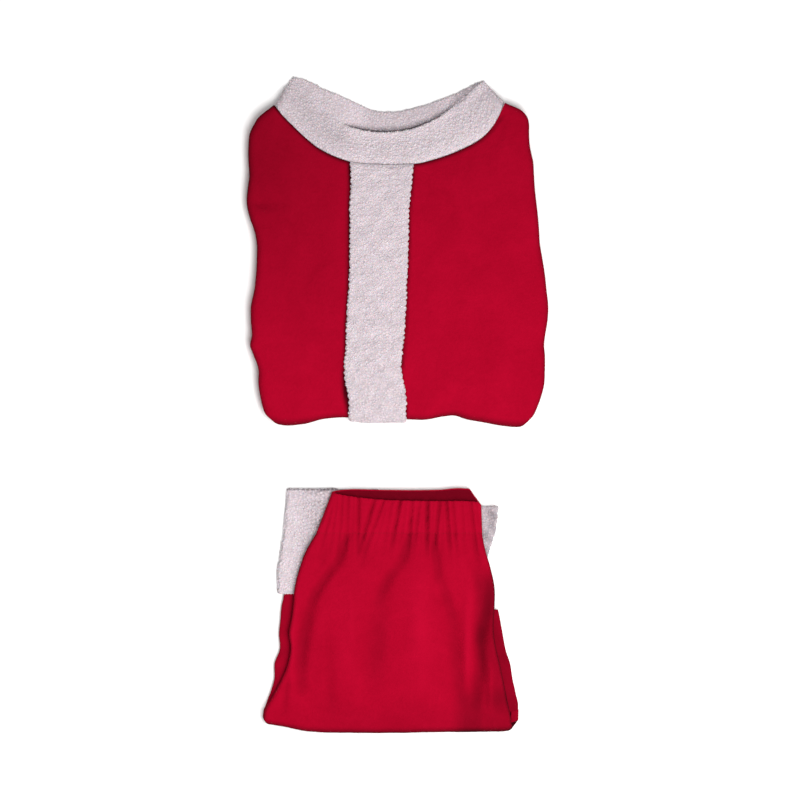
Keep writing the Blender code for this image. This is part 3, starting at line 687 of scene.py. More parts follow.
CURL_STEP = 0.62  # between neighbouring points of the pile
TUFT, CURL = 3.1, 1.8  # across a large tuft, and across a small curl
TUFT_SHARE = 0.62  # the large tufts' share in the pile's height
PILE_SUNK = 0.15  # how deep the pile's skin lies where no pile stands
PILE_LOW = 0.25  # how far it rises from there in the creases between tufts
PILE_HIGH = 1.75  # and further on a full tuft
OVERHANG = 3.2  # how far the pile hangs over a seam

# What turns a cell's corner into a place in the cell that looks random
SCATTER = [[127.1, 269.5, 113.5], [311.7, 183.3, 271.9], [74.7, 246.1, 124.6]]
STIR = 43758.5453


def rows_at(grid, at):
    """A grid's rows at places between its own, on straight lines."""
    low = np.minimum(at.astype(int), len(grid) - 2)
    part = (at - low).reshape(-1, *[1] * (grid.ndim - 1))
    return grid[low] * (1 - part) + grid[low + 1] * part


def evenly(grid, axis, step):
    """The grid drawn again at even steps along one of its axes."""
    grid = np.moveaxis(grid, axis, 0)
    lengths = np.linalg.norm(np.diff(grid, axis=0), axis=-1).mean(axis=1)
    along = np.concatenate([[0.0], np.cumsum(lengths)])
    at = np.linspace(0, along[-1], int(along[-1] / step) + 1)
    return np.moveaxis(rows_at(grid, np.interp(at, along, np.arange(len(along)))), 0, axis)


def tufts(points, size, seed):
    """How high a curly pile stands, 0 to 1: rounded tufts about size across, creased between."""
    u, v, z = np.moveaxis(points, -1, 0)
    bend = [ripples(v, z, 2.4 * size, seed), ripples(u, z, 2.4 * size, seed + 1), 0 * u]
    place = points / size + 0.3 * np.stack(bend, axis=-1)
    cell = np.floor(place)
    nearest = second = np.full(u.shape, 9.0)
    for step in np.ndindex(3, 3, 3):
        corner = cell + step - 1.0
        stirred = STIR * np.sin(corner @ SCATTER + seed)
        away = np.linalg.norm(place - corner - (stirred - np.floor(stirred)), axis=-1)
        second = np.minimum(second, np.maximum(nearest, away))
        nearest = np.minimum(nearest, away)
    return ease(-0.05, 0.55, second - nearest) * (1 - 0.5 * nearest**2)


def unit(vectors):
    return vectors / np.maximum(np.linalg.norm(vectors, axis=-1, keepdims=True), 1e-9)


def pile(name, grid, origin, seed, cover, shade, closed=False):
    """A skin of curls over a grid. cover() says by points and normals how full it stands."""
    if closed:
        grid = np.concatenate([grid, grid[:, :1]], axis=1)
    grid = evenly(evenly(grid, 0, CURL_STEP), 1, CURL_STEP)
    normal = unit(np.cross(np.gradient(grid, axis=1), np.gradient(grid, axis=0)))
    highest = np.unravel_index(np.argmax(grid[..., 2]), grid.shape[:2])
    outwards = 1 if normal[highest][2] > 0 else -1
    normal *= outwards
    full = cover(grid, normal)
    for axis, count in enumerate(grid.shape[:2]):
        if axis == 0 or not closed:
            from_border = np.minimum(np.arange(count), np.arange(count)[::-1])
            full = full * np.expand_dims(ease(0, 2.5, from_border), 1 - axis)
    height = TUFT_SHARE * tufts(grid, TUFT, seed) + (1 - TUFT_SHARE) * tufts(grid, CURL, seed + 2)
    stand = full * (PILE_LOW + PILE_HIGH * height) - PILE_SUNK
    skin = grid + normal * stand[..., None]
    # Painted shade in the creases between tufts and painted light on their tops.
    painted_tuft_shade = 0.85 * full * (0.5 - height)
    if closed:
        # The curls at a ring's sewn edge hang over the seam, and none sticks far out.
        overhang = OVERHANG * np.minimum(height, 0.62) ** 2 * cover(grid, normal)
        overhang = overhang * ease(6, 0, np.arange(len(grid)))[:, None]
        skin = skin + overhang[..., None] * unit(grid[0] - grid[3])
    skin[..., 2] = np.maximum(skin[..., 2], 0.05)
    index = np.arange(full.size).reshape(full.shape)
    if closed:
        index[:, -1] = index[:, 0]
    parts = (slice(-1), slice(-1)), (slice(-1), slice(1, None))
    parts += (slice(1, None), slice(1, None)), (slice(1, None), slice(-1))
    wanted = np.maximum.reduce([full[part] for part in parts]) > 0.02
    faces = np.stack([index[part] for part in parts], axis=-1)[wanted][:, ::outwards]
    used, faces = np.unique(faces, return_inverse=True)
    obj = new_piece(
        name,
        skin.reshape(-1, 3)[used],
        faces.reshape(-1, 4).tolist(),
        white_sherpa,
        origin,
        (shade(grid) + painted_tuft_shade).ravel()[used],
        turned=True,
    )
    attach(obj, "root")
    return obj


def padded_strip(outer, inner):
    """A closed strip between an outer and an inner grid of points."""
    rows, count = outer.shape[:2]
    grid = np.concatenate([outer, inner[:, ::-1]], axis=1)
    faces = grid_faces(grid, True)
    for first in (0, (rows - 1) * 2 * count):
        last = first + 2 * count - 1
        for column in range(count - 1):
            here, there = first + column, last - column
            faces.append([here, here + 1, there - 1, there])
    return grid, faces


def scallops(along, seed):
    """How far the uneven small lobes of the pile's edge stand out."""
    lobes = np.abs(np.sin(math.pi * along / 6.6 + 0.9 * ripples(along, 0 * along, 26, seed)))
    return 1.5 * (lobes - 0.5) + 0.4 * ripples(along, 0 * along, 9, seed + 1)


BASE_STAND = 3.3  # how far the backing and the roots of the pile stand above the fleece
EDGE_STAND = 0.9  # and how far at the band's edges
BAND_WIDTH = 66.0
BAND_ROUNDING = 3.2  # how far in from its edges the band reaches its full height
side_count = np.count_nonzero(fraction[0] == 0)
halves = np.arange(2 * len(front_path) - 1) / 2
band_path = rows_at(front_path, halves)
band_ground = rows_at(front_points[:, side_count:-side_count], halves)
steps = np.linalg.norm(np.diff(band_ground[:, band_ground.shape[1] // 2], axis=0), axis=1)
band_along = np.concatenate([[0.0], np.cumsum(steps)])[:, None]
band_up = np.maximum(band_path, 0) * float(smooth(NECKLINE, 1, 0))
band_left = smooth(BAND_EDGES, 1, band_up) - scallops(band_along, 41)
band_right = smooth(BAND_EDGES, 2, band_up) + scallops(band_along, 44)
even = np.linspace(0, 1, 33)
across = (1 - np.cos(math.pi * even)) / 2 * 0.4 + even * 0.6
band_u = band_left + across[None, :] * (band_right - band_left)
from_edge = np.minimum(across, 1 - across) * BAND_WIDTH
round_off = np.sqrt(1 - np.clip(1 - from_edge / BAND_ROUNDING, 0, 1) ** 2)
band_outer, band_inner = [], []
for at, place, step, along in zip(band_u, band_ground, band_path[:, 0], band_along[:, 0]):
    turn = math.pi * np.clip(-step, 0, 1)
    at_collar = float(ease(5.0, 0.0, along))
    v = np.interp(at, place[:, 0], place[:, 1])
    height = np.interp(at, place[:, 0], place[:, 2])
    knobs = 0.45 * ripples(at, v + 40 * turn, 5.0, 43) + 0.25 * ripples(at, v + 40 * turn, 11, 44)
    full = EDGE_STAND + (BASE_STAND - EDGE_STAND - 1.6 * at_collar + knobs) * round_off
    for grid, stand in ((band_outer, full), (band_inner, SEAM)):
        side_v, top = v - stand * math.sin(turn), height + stand * math.cos(turn)
        grid.append(np.column_stack([at, side_v, top]))
band_outer = np.array(band_outer)
band_mesh = padded_strip(band_outer, np.array(band_inner))
front_band = new_piece("sherpa_band", *band_mesh, white_sherpa, PULLOVER_AT)
band_curls = pile(
    "sherpa_band_curls",
    band_outer,
    PULLOVER_AT,
    5,
    lambda place, normal: np.ones(place.shape[:2]),
    lambda place: 0.1 * ripples(place[..., 0], place[..., 1], 18, 46),
)
settle(front_band, "pullover_front_band")


# ---------------- Collar
# A straight stand-up tube of the same sherpa, sewn round the neckline and pressed flat, so
# that its front edge lies lower than its back edge and the neck opening shows between them.

SHERPA = 4.2  # white curly pile on its backing
COLLAR_MOUTH = 11.6  # height of the flattened collar at its open edge
COLLAR_SEAM_HEIGHT = 22.0  # and where it is sewn to the neckline
COLLAR_ROWS = 20
COLLAR_SUNK = 1.2  # how far the collar's ground lies below its pile
LOWEST = 0.3  # how far above the table the underside of a tube of sherpa stays

# u, the collar's open edge at the front, and at the back
COLLAR_EDGE = [
    (-106, 419, 419), (-94, 409, 417), (-80, 397, 411), (-64, 379, 403), (-46, 364, 396),
    (-28, 356, 387), (-10, 353, 379), (20, 353, 377), (40, 357, 381), (58, 364, 386),
    (76, 374, 393), (92, 387, 399), (108, 400, 407), (118, 409, 412), (125, 414, 414),
]


def ring_places(flat_front, flat_back, angles, ledges=()):
    """Places round a flattened ring, from its left fold over the front and back underneath.

    Each has its fraction across, its angle in the fold, its further inset, its level from
    -1 below to 1 above, and whether it belongs to the back.
    """
    front = np.vstack(columns(flat_front, angles, (), ledges))
    back = np.vstack(columns(flat_back, angles, (), ledges))[:, -2:0:-1]
    level = np.concatenate([np.sin(front[1]), -np.sin(back[1])])
    is_back = np.arange(len(level)) >= front.shape[1]
    return np.vstack([np.hstack([front, back]), level, is_back]).T


def ring_row(garment, places, seam_path, mouth, share, height, floor):
    """One row round a flattened tube, from the garment's top line towards its open edge.

    seam_path is the path of the face's and the underside's top line. mouth is the table of
    the open edge: u, and its v at the front and at the back. share is how far up it lies.
    height gives the row's top by u, and floor is the height of its underside.
    """
    fraction, angle, inset, level, back = places.T
    across = [part[None, :] for part in (fraction, angle, inset)]
    front_row, back_row = (garment.grid(np.array([[path]]), *across)[0] for path in seam_path)
    seam = np.where(back[:, None] > 0, back_row, front_row)
    low, high = seam[:, 0].min(), seam[:, 0].max()
    mouth_u = mouth[0][0] + (seam[:, 0] - low) / (high - low) * (mouth[-1][0] - mouth[0][0])
    mouth_v = np.where(back > 0, smooth(mouth, 2, mouth_u), smooth(mouth, 1, mouth_u))
    way = np.stack([mouth_u - seam[:, 0], mouth_v - seam[:, 1]], axis=-1)
    length = np.linalg.norm(way, axis=-1, keepdims=True)
    plan = seam[:, :2] + way / length * (3 * SEAM + share * (length - 3 * SEAM))
    tall = height(plan[:, 0])
    return np.column_stack([plan, floor + (tall - floor) / 2 * (1 + level)])


def grid_normals(rows):
    """Outward unit normals of a closed ring's grid."""
    along = np.gradient(rows, axis=0)
    around = np.roll(rows, -1, axis=1) - np.roll(rows, 1, axis=1)
    normal = unit(np.cross(around, along))
    away = rows - rows.mean(axis=1, keepdims=True)
    return normal if np.sum(normal * away) > 0 else -normal


def walled_ring(rows, wall, rim_steps=7):
    """Outer rows, a rounded rim at the open end and inner rows, as one closed grid."""
    normal = grid_normals(rows)
    ahead = unit(rows[-1] - rows[-2])
    core = rows[-1] - wall / 2 * normal[-1]
    turned = np.linspace(0, math.pi, rim_steps + 2)[1:-1]
    rim = [core + wall / 2 * (math.cos(t) * normal[-1] + math.sin(t) * ahead) for t in turned]
    return np.concatenate([rows, rim, (rows - wall * normal)[::-1]])


def knobbly_tube(rings, sunk, knobs, waves, wall, rim_steps=7):
    """A flattened tube of sherpa from its rings, drawn in by sunk to leave room for the pile.

    knobs and waves hold the length, the height and the seed of the small and large swells.
    """
    rings = np.array(rings)
    lift = -sunk
    for length, height, seed in (knobs, waves):
        lift = lift + height * ripples(rings[..., 0], rings[..., 1], length, seed)
    rings = rings + grid_normals(rings) * lift[..., None]
    rings[..., 2] = np.maximum(rings[..., 2], LOWEST)
    return walled_ring(rings, wall, rim_steps)


def closed_ring_faces(grid):
    """The faces of a walled ring's grid, with its inner and outer first rows joined."""
    rows, count = grid.shape[:2]
    faces = grid_faces(grid, True)
    last = (rows - 1) * count
    for column in range(count):
        after = (column + 1) % count
        faces.append([column, after, last + after, last + column])
    return faces


collar_places = ring_places(104, 84, np.arange(0, 91, 15), FACE_LEDGES)
collar_rows = []
# The first row lies just below the seam, and the rounded rim takes up the last of the height.
for share in np.linspace(-0.014, 0.96, COLLAR_ROWS):
    drop = (1 + math.cos(math.pi * share)) / 2
    tall = COLLAR_MOUTH + (COLLAR_SEAM_HEIGHT - COLLAR_MOUTH) * drop
    shut = float(ease(0.3, 1.0, share))
    row = ring_row(
        pullover,
        collar_places,
        (1.0, -2.0),
        COLLAR_EDGE,
        share,
        lambda u: tall - shut * (6.2 * ease(-32, -54, u) + 4.6 * ease(72, 94, u)),
        0.0,
    )
    collar_rows.append(row)
near_seam = np.exp(-((np.linspace(0, 1, COLLAR_ROWS) / 0.06) ** 2))[:, None]
sunk = COLLAR_SUNK + 0.8 * near_seam
collar_grid = knobbly_tube(collar_rows, sunk, (5, 0.45, 51), (14, 0.4, 52), SHERPA - COLLAR_SUNK)


def collar_shade(points):
    """Painted light over the middle, painted shade inside the neck, in its slit and at the right
    fold.
    """
    u, v = points[..., 0], points[..., 1]
    past_edge = v - smooth(COLLAR_EDGE, 1, u)
    inside = ease(9, 0, past_edge) * (past_edge > 0.5) * ease(-40, -26, u)
    right_fold = ease(78, 92, u) * ease(112, 104, u) * ease(12, 3, np.abs(past_edge - 3))
    middle = 0.24 * ease(-70, -20, u) * ease(150, 110, u)
    behind = 0.33 * ease(1, 5, past_edge) * ease(-34, 0, u)
    slit = 0.6 * ease(3.5, 1, past_edge) * (past_edge > 0.5) * ease(-46, -34, u) * ease(74, 50, u)
    return np.maximum(0.95 * inside, 0.4 * right_fold) + 0.08 - middle + behind + slit


collar = new_piece(
    "sherpa_collar",
    collar_grid,
    closed_ring_faces(collar_grid),
    white_sherpa,
    PULLOVER_AT,
    collar_shade(collar_grid),
)


def collar_cover(place, normal):
    """The pile covers all that shows, and is left out inside and underneath."""
    hidden = (place[..., 1] < smooth(COLLAR_EDGE, 1, place[..., 0]) - 10) & (place[..., 2] < 6)
    return ease(-0.5, -0.1, normal[..., 2]) * ease(0.6, 2.0, place[..., 2]) * ~hidden


collar_pile = pile(
    "sherpa_collar_curls", collar_grid, PULLOVER_AT, 6, collar_cover, collar_shade, closed=True
)
settle(collar, "pullover_collar")


# ---------------- Trousers front
# The same red fleece in one layer: both fronts, sewn together, folded back at the sides and
# at the bottom, and drawn into the waist in uneven gathers that run down into long folds.

TROUSERS_AT = (0.6, -394.2)
TROUSERS_THICK = 19.0
TROUSERS_WAIST_HEIGHT = 21.8
WAIST_DROP = 1.6  # how much lower the casing's open edge is
TROUSERS_ROLL = 5.0
TROUSERS_LIP = 4.0
TROUSERS_HEM = 0.06
LEG_THICK = 7.8
LEG_ROOM = 1.0  # between the legs folded up and the front's tucked-in edges
GATHER_FADE = 22.0  # how far below the casing a gather dies away
GATHER_DEPTH = 1.5  # of all the gathers, times each one's own

# v, left edge, right edge of the trousers' front, and of the legs folded up behind it
FRONT_EDGES = [
    (0, -159, 134), (5, -161, 136), (10, -161, 136), (20, -160, 135), (34, -154, 132),
    (50, -146, 129), (65, -139, 126), (84, -132, 122), (101, -129, 118), (120, -131, 115),
    (137, -128, 115), (152, -126, 116), (175, -124, 116), (199, -118, 111), (220, -110, 105),
    (234, -102, 102), (242, -97, 101),
]
LEG_EDGES = [
    (0, -160, 141), (6, -162, 144), (18, -162, 145), (34, -158, 145), (50, -153, 142),
    (62, -150, 139), (84, -149, 136), (98, -144, 131), (120, -144, 127), (142, -142, 123),
    (170, -137, 118),
]
WAIST_SEAM = 240.0  # v of the casing's lower stitching

# u, how far the trousers' bottom fold lies above its lowest point
TROUSERS_RISE = [
    (-162, 11), (-150, 9.5), (-138, 7.5), (-126, 5), (-114, 2.5), (-98, 1), (-58, 0), (0, 0),
    (50, 1), (90, 1), (114, 1.5), (128, 2), (136, 3.5), (146, 8),
]

# Soft folds of the trousers: u, v of each end, sideways bow, half width, height
TROUSERS_FOLDS = [
    (-60, 240, -71, 206, 1, 4.5, -3.6),
    (-68, 212, -104, 158, 2, 5.5, -4.0),
    (-100, 168, -117, 52, 5, 7.5, -4.6),
    (14, 238, 5, 204, 1, 5, -3.8),
    (6, 210, -24, 158, 3, 6, -3.4),
    (-20, 168, -30, 52, 0, 13, -2.6),
    (45, 226, 48, 186, 0, 5, -3.2),
    (48, 190, 66, 130, -2, 6, -2.8),
    (66, 138, 74, 40, 0, 8.5, -3.2),
    (110, 186, 99, 112, -3, 7, -4.6),
    (99, 124, 94, 34, -2, 6.5, -4.8),
    (84, 172, 82, 52, 0, 6, 2.8),
    (111, 84, 112, 26, 0, 4, 2.6),
    (-124, 170, -127, 56, 3, 5, 2.2),
    (24, 190, 28, 56, 0, 13, 2.6),
    (-57, 172, -56, 108, 0, 3, 0.9),
    (-66, 160, -64, 60, 0, 13, 1.2),
    (-84, 104, -80, 22, 0, 6, -1.3),
    (-134, 62, -137, 24, 0, 4, -1.6),
    (-86, 232, -98, 190, -2, 5, -1.2),
    (-40, 236, -48, 196, -3, 4, -1.4),
    (91, 236, 97, 200, 0, 4, -1.8),
    (-10, 44, 40, 34, 2, 12, -0.8),
    (-104, 40, -56, 32, -3, 12, -0.7),
]

# The waist gathers: u at the casing's stitching, u at its open edge, half width, depth
GATHERS = [
    (-88, -77, 2.4, 0.7), (-79, -73, 1.8, 0.5), (-70, -67, 2.0, 1.0), (-62, -60, 2.2, 1.3),
    (-55, -53.5, 1.6, 0.5), (-48, -47.5, 1.9, 1.6), (-40.5, -28, 2.3, 2.0), (-32, -15.5, 2.0, 1.2),
    (-23, -11, 1.5, 0.4), (-14.5, -7, 2.0, 0.9), (-5, 3.5, 2.3, 1.8), (4, 10, 1.6, 0.5),
    (14, 17, 2.3, 2.1), (21, 26.5, 1.9, 1.4), (28, 31, 1.4, 0.5), (34.8, 35.4, 2.5, 2.7),
    (41, 42.6, 1.5, 0.7), (45.6, 50.4, 2.2, 2.1), (53, 54, 1.5, 0.5), (60.6, 57.6, 2.1, 1.9),
    (68.4, 64.8, 1.9, 1.3), (78, 75.6, 2.3, 0.7), (85, 81, 1.6, 0.4), (91, 86.4, 2.4, 1.3),
    (98, 93, 2.0, 0.8),
]


def gather_relief(u, v):
    """The troughs that the elastic draws into the casing, dying away below its stitching."""
    up = (v - WAIST_SEAM) / 44.0
    strength = np.where(v < WAIST_SEAM, np.exp(-((WAIST_SEAM - v) / GATHER_FADE) ** 2), 1.0)
    height = np.zeros(np.broadcast(u, v).shape)
    for at_seam, at_mouth, half_width, depth in GATHERS:
        middle = at_seam + (at_mouth - at_seam) * up
        height = height - depth * np.exp(-(((u - middle) / half_width) ** 2))
    return height * strength * (1 + 0.3 * ripples(u, 0.6 * v, 26, 64))


def trousers_face(u, v):
    rise = (TROUSERS_WAIST_HEIGHT - TROUSERS_THICK) * ease(120, 236, v)
    swell = 0.3 * ripples(u, v, 30, 61) + 0.15 * ripples(u, v, 10, 62)
    folds = relief(TROUSERS_FOLDS, u, v) + GATHER_DEPTH * gather_relief(u, v) + swell
    return TROUSERS_THICK + rise + folds


def above_legs(v):
    return LEG_THICK + LEG_ROOM + 1.6 * (ease(34, 14, v) + ease(110, 145, v))


def waist_line(u):
    return np.full(np.shape(u), WAIST_SEAM)


trousers = FoldedGarment(
    axis=TROUSERS_THICK / 2,
    roll=TROUSERS_ROLL,
    ledge=0.0,
    top_slant=0.0,
    top=(WAIST_SEAM, WAIST_SEAM),
    edges=FRONT_EDGES,
    under_edges=LEG_EDGES,
    lines=(waist_line, waist_line),
    face=trousers_face,
    lip_height=above_legs,
    under=lambda u, climb: 0.0,
    rise=TROUSERS_RISE,
)
trousers_path = path_down(92, 15, 6, TROUSERS_HEM)
fraction, angle, lip = columns(112, np.arange(-90, 91, 15), (TROUSERS_LIP, TROUSERS_LIP / 2), ())
trousers_points = trousers.grid(trousers_path, fraction, angle, lip * lip_share(trousers_path))


def waist_shade(points):
    """Painted shade in gathers, folds, the right side, the bottom and beneath; painted light on
    ridges.
    """
    u, v = points[..., 0], points[..., 1]
    deep = -0.17 * gather_relief(u, v) - 0.075 * relief(TROUSERS_FOLDS, u, v) - 0.03
    from_edge = smooth(FRONT_EDGES, 2, v) - u
    turned = 0.34 * ease(30, 16, from_edge) * ease(214, 176, v) * ease(18, 46, v)
    lower = 0.15 * ease(46, 8, v) * (0.4 + 0.6 * ease(-120, -60, u))
    lower += ease(60, 84, u) * (0.2 * ease(62, 38, v) + 0.12 * ease(104, 96, u) * ease(80, 62, v))
    above = points[..., 2] > TROUSERS_THICK / 2
    return np.where(above, np.clip(deep + turned + lower, -0.6, 0.7), 0.3)


trousers_front = new_piece(
    "fleece_trousers_front",
    trousers_points,
    grid_faces(trousers_points),
    red_fleece,
    TROUSERS_AT,
    waist_shade(trousers_points) + edge_shade(trousers_path, angle),
)
thicken(trousers_front, FLEECE)
settle(trousers_front, "trousers_front")


# ---------------- Trousers back
# The back of the trousers, in the same fleece, sewn to the front and folded up with it. It
# lies inside the front's rolled edges, over both legs.


def below_trousers(u, v):
    return trousers.face(u, v - bottom_rise(TROUSERS_RISE, u, v)) - FLEECE - LAYER_GAP


trousers_back = refined(
    "trousers_folded_layers", "trousers_core", 3.5, TROUSERS_AT, below_trousers
)
trousers_layers = new_piece("fleece_trousers_back", *trousers_back, red_fleece, TROUSERS_AT)
settle(trousers_layers, "trousers_folded_layers")


# ---------------- Waist casing
# The top of the trousers turned over a wide elastic and stitched down in red thread. The
# elastic draws it into close gathers, and its mouth lies open at the top.

CUFF_THICK = 9.4  # of the cuffs turned up below the casing
CASING = 3.6  # red fleece doubled over the elastic
CASING_FLOOR = CUFF_THICK + 0.4  # height of the casing's underside

# u, v of the casing's open edge at the front, and at the back
WAIST_MOUTH = [
    (-79, 289, 291), (-60, 285.5, 293), (-24, 281, 292.5), (16, 279.5, 292), (50, 279, 292.5),
    (80, 279, 294), (87, 278.6, 292.5), (91, 278.3, 286), (95, 277.5, 281), (100, 275, 275),
]

CASING_ROWS = 20
ON_FACE = 16.0  # what lies higher in a row round the waist belongs to its face

casing_places = ring_places(130, 70, np.arange(0, 91, 15))
front_top = trousers_points[0][np.argsort(trousers_points[0][:, 0])]
front_top = front_top[front_top[:, 2] > ON_FACE]
casing_rows = []
# The first row lies just below the seam, and the rounded rim takes up the last of the height.
for share in np.linspace(-0.024, 0.965, CASING_ROWS):
    tall = TROUSERS_WAIST_HEIGHT - WAIST_DROP * share
    row = ring_row(
        trousers, casing_places, (1.0, 1.0), WAIST_MOUTH, share, lambda u: tall, CASING_FLOOR
    )
    on_front = casing_places[:, 4] == 0
    front = on_front * (1 - np.cos(casing_places[:, 1]))
    row[:, 2] += front * GATHER_DEPTH * gather_relief(row[:, 0], row[:, 1])
    row[:, 2] += front * 1.1 * math.sin(math.pi * max(share, 0.0)) ** 0.6
    at_seam = on_front * (1 - ease(0.0, 0.22, share))
    sewn = np.interp(row[:, 0], front_top[:, 0], front_top[:, 2])
    row[:, 2] += at_seam * (sewn - row[:, 2]) * (row[:, 2] > ON_FACE)
    casing_rows.append(row)
casing_grid = walled_ring(np.array(casing_rows), CASING)
# Painted shade in the gathers and painted light between them; the inner rows get painted shade.
casing_shade = -0.17 * gather_relief(casing_grid[..., 0], casing_grid[..., 1]) - 0.1
casing_shade = np.clip(casing_shade, -0.6, 0.7)
casing_shade[-CASING_ROWS:] = 0.7  # the inner rows
casing = new_piece(
    "fleece_waist_casing",
    casing_grid,
    closed_ring_faces(casing_grid),
    red_fleece,
    TROUSERS_AT,
    casing_shade,
)


def thread_group():
    """Sewing thread: two plies twisted, with painted shade in the lay between them."""
    colours = {"Lay in painted shade": (0.2, 0.002, 0.01, 1), "Ply": (0.42, 0.004, 0.024, 1)}
    tree, start, end = group_ends("Twisted thread", colours)
    place = tree.nodes.new("ShaderNodeTexCoord").outputs["Object"]
    inputs = {"Vector": place, "Scale": 700.0, "Distortion": 1.0}
    twist = add_node(tree, "ShaderNodeTexWave", inputs, "Fac", bands_direction="DIAGONAL")
    colour = mix_colours(tree, twist, start.outputs["Lay in painted shade"], start.outputs["Ply"])
    rough = math_node(tree, "MULTIPLY_ADD", twist, -0.15, 0.75)
    feed(tree, end, {"Colour": colour, "Height": twist, "Roughness": rough})
    return tree


def stitch_tree(material):
    """Copies one short stitch along a seam line, turned to follow it."""
    tree = bpy.data.node_groups.new("Row of stitches", "GeometryNodeTree")
    tree.interface.new_socket("Seam line", in_out="INPUT", socket_type="NodeSocketGeometry")
    for title in ("Spacing", "Stitch length", "Thread width"):
        tree.interface.new_socket(title, in_out="INPUT", socket_type="NodeSocketFloat")
    tree.interface.new_socket("Stitches", in_out="OUTPUT", socket_type="NodeSocketGeometry")
    start = tree.nodes.new("NodeGroupInput").outputs
    line = add_node(tree, "GeometryNodeMeshToCurve", {"Mesh": start["Seam line"]})
    steps = {"Curve": line, "Length": start["Spacing"]}
    spaced = add_node(tree, "GeometryNodeResampleCurve", steps, mode="LENGTH")
    way = add_node(tree, "GeometryNodeInputTangent", {})
    turn = add_node(tree, "FunctionNodeAlignRotationToVector", {"Vector": way}, axis="X")
    ball = {"Segments": 8, "Rings": 6, "Radius": 0.5}
    stitch = add_node(tree, "GeometryNodeMeshUVSphere", ball)
    width = start["Thread width"]
    sizes = {"X": start["Stitch length"], "Y": width, "Z": width}
    size = add_node(tree, "ShaderNodeCombineXYZ", sizes)
    placed = {"Points": spaced, "Instance": stitch, "Rotation": turn, "Scale": size}
    copies = add_node(tree, "GeometryNodeInstanceOnPoints", placed)
    real = add_node(tree, "GeometryNodeRealizeInstances", {"Geometry": copies})
    finish = {"Geometry": real, "Material": material}
    stitches = add_node(tree, "GeometryNodeSetMaterial", finish)
    feed(tree, tree.nodes.new("NodeGroupOutput"), {"Stitches": stitches})
    return tree


THREAD_FINISH = {"Specular IOR Level": 0.05}
red_thread = cloth_material("Red thread", thread_group(), bump=0.1, settings=THREAD_FINISH)

SEAM_ENDS = (-95, 99)  # u of the row of stitches
STITCH_SIZES = {"Spacing": 3.2, "Stitch length": 2.5, "Thread width": 0.55}

# Only the front's row is drawn: the back's lies pressed between the layers.
sewn_along = (front_top[:, 0] > SEAM_ENDS[0]) & (front_top[:, 0] < SEAM_ENDS[1])
seam_line = front_top[sewn_along] + (0.0, 0.5, 0.2)
seam_mesh = bpy.data.meshes.new("waist_stitches")
seam_mesh.from_pydata(
    ((seam_line + (*TROUSERS_AT, 0.0)) * MM).tolist(),
    [(i, i + 1) for i in range(len(seam_line) - 1)],
    [],
)
waist_stitches = add_object("waist_stitches", seam_mesh)
stitching = waist_stitches.modifiers.new("Stitches", "NODES")
stitching.node_group = stitch_tree(red_thread)
for socket in stitching.node_group.interface.items_tree:
    if socket.name in STITCH_SIZES:
        stitching[socket.identifier] = STITCH_SIZES[socket.name] * MM
bpy.context.view_layer.update()
graph = bpy.context.evaluated_depsgraph_get()
made = bpy.data.meshes.new_from_object(waist_stitches.evaluated_get(graph))
waist_stitches.modifiers.clear()
waist_stitches.data = made
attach(waist_stitches, "root")
settle(casing, "trousers_waistband")


# ---------------- Folded legs
# Both legs turned up behind the front, each a fleece tube pressed flat, with a soft fold
# along its outer edge that shows past the front's own edge.

LEG_ROLL = 5.0
GROOVE = 2.4  # how deep the groove between two folded layers runs in at an edge
GROOVE_TURN = 0.25  # its breadth, as an angle round the edge


def flat_ring(places, left, right, v, roll, thick, groove=0.0):
    """A flattened ring across u at v, from its left to its right edge, resting at height 0."""
    fraction, angle, inset, level, _ = places.T
    dip = groove * np.exp(-((angle / GROOVE_TURN) ** 2)) * (level**2 < 0.999)
    inset = inset + roll * (1 - np.cos(angle)) + dip
    across = left + roll + fraction * (right - left - 2 * roll)
    u = np.where(fraction == 0, left + inset, np.where(fraction == 1, right - inset, across))
    return np.column_stack([u, np.full(len(u), v), thick / 2 * (1 + level)])


leg_start = TROUSERS_THICK / 2 + TROUSERS_HEM * (WAIST_SEAM - TROUSERS_THICK / 2)
leg_places = ring_places(44, 44, [0, 6, 12, 20, 30, 42, 54, 66, 78, 90])
for name, node, column, stop, shadow in (
    ("fleece_left_leg", "left_leg_folded", 1, 167.0, 0.2),
    ("fleece_right_leg", "right_leg_folded", 2, 148.0, 0.43),
):
    rings = []
    for v in np.linspace(leg_start, stop, 60):
        outer = float(smooth(LEG_EDGES, column, v))
        wander = 0.5 - 0.6 * float(ripples(np.array(v), 0.0, 24, 70 + column))
        inwards = wander * float(ease(leg_start, 46, v))
        outer += inwards * (1 if column == 1 else -1)
        middle = -1.2 - 12 * ease(105, 140, v) if column == 1 else 1.2 + 6 * ease(60, 148, v)
        left, right = (outer, middle) if column == 1 else (middle, outer)
        ring = flat_ring(leg_places, left, right, v, LEG_ROLL, LEG_THICK, GROOVE)
        ring[:, 1] += bottom_rise(TROUSERS_RISE, ring[:, 0], ring[:, 1])
        rings.append(ring)
    rings = np.array(rings)
    leg_shade = shadow + 0.06 * ripples(rings[..., 0], rings[..., 1], 20, 75 + column)
    leg = new_piece(name, rings, strip_faces(rings), red_fleece, TROUSERS_AT, leg_shade)
    settle(leg, node)


# ---------------- Leg cuffs
# A straight tube of white sherpa sewn to each leg's end, pressed flat. The left one shows
# beside the waist, the right one is nearly hidden.

CUFF_ROLL = 6.0
CUFF_WALL = 3.3
CUFF_SUNK = 1.1  # how far the cuffs' ground lies below their pile

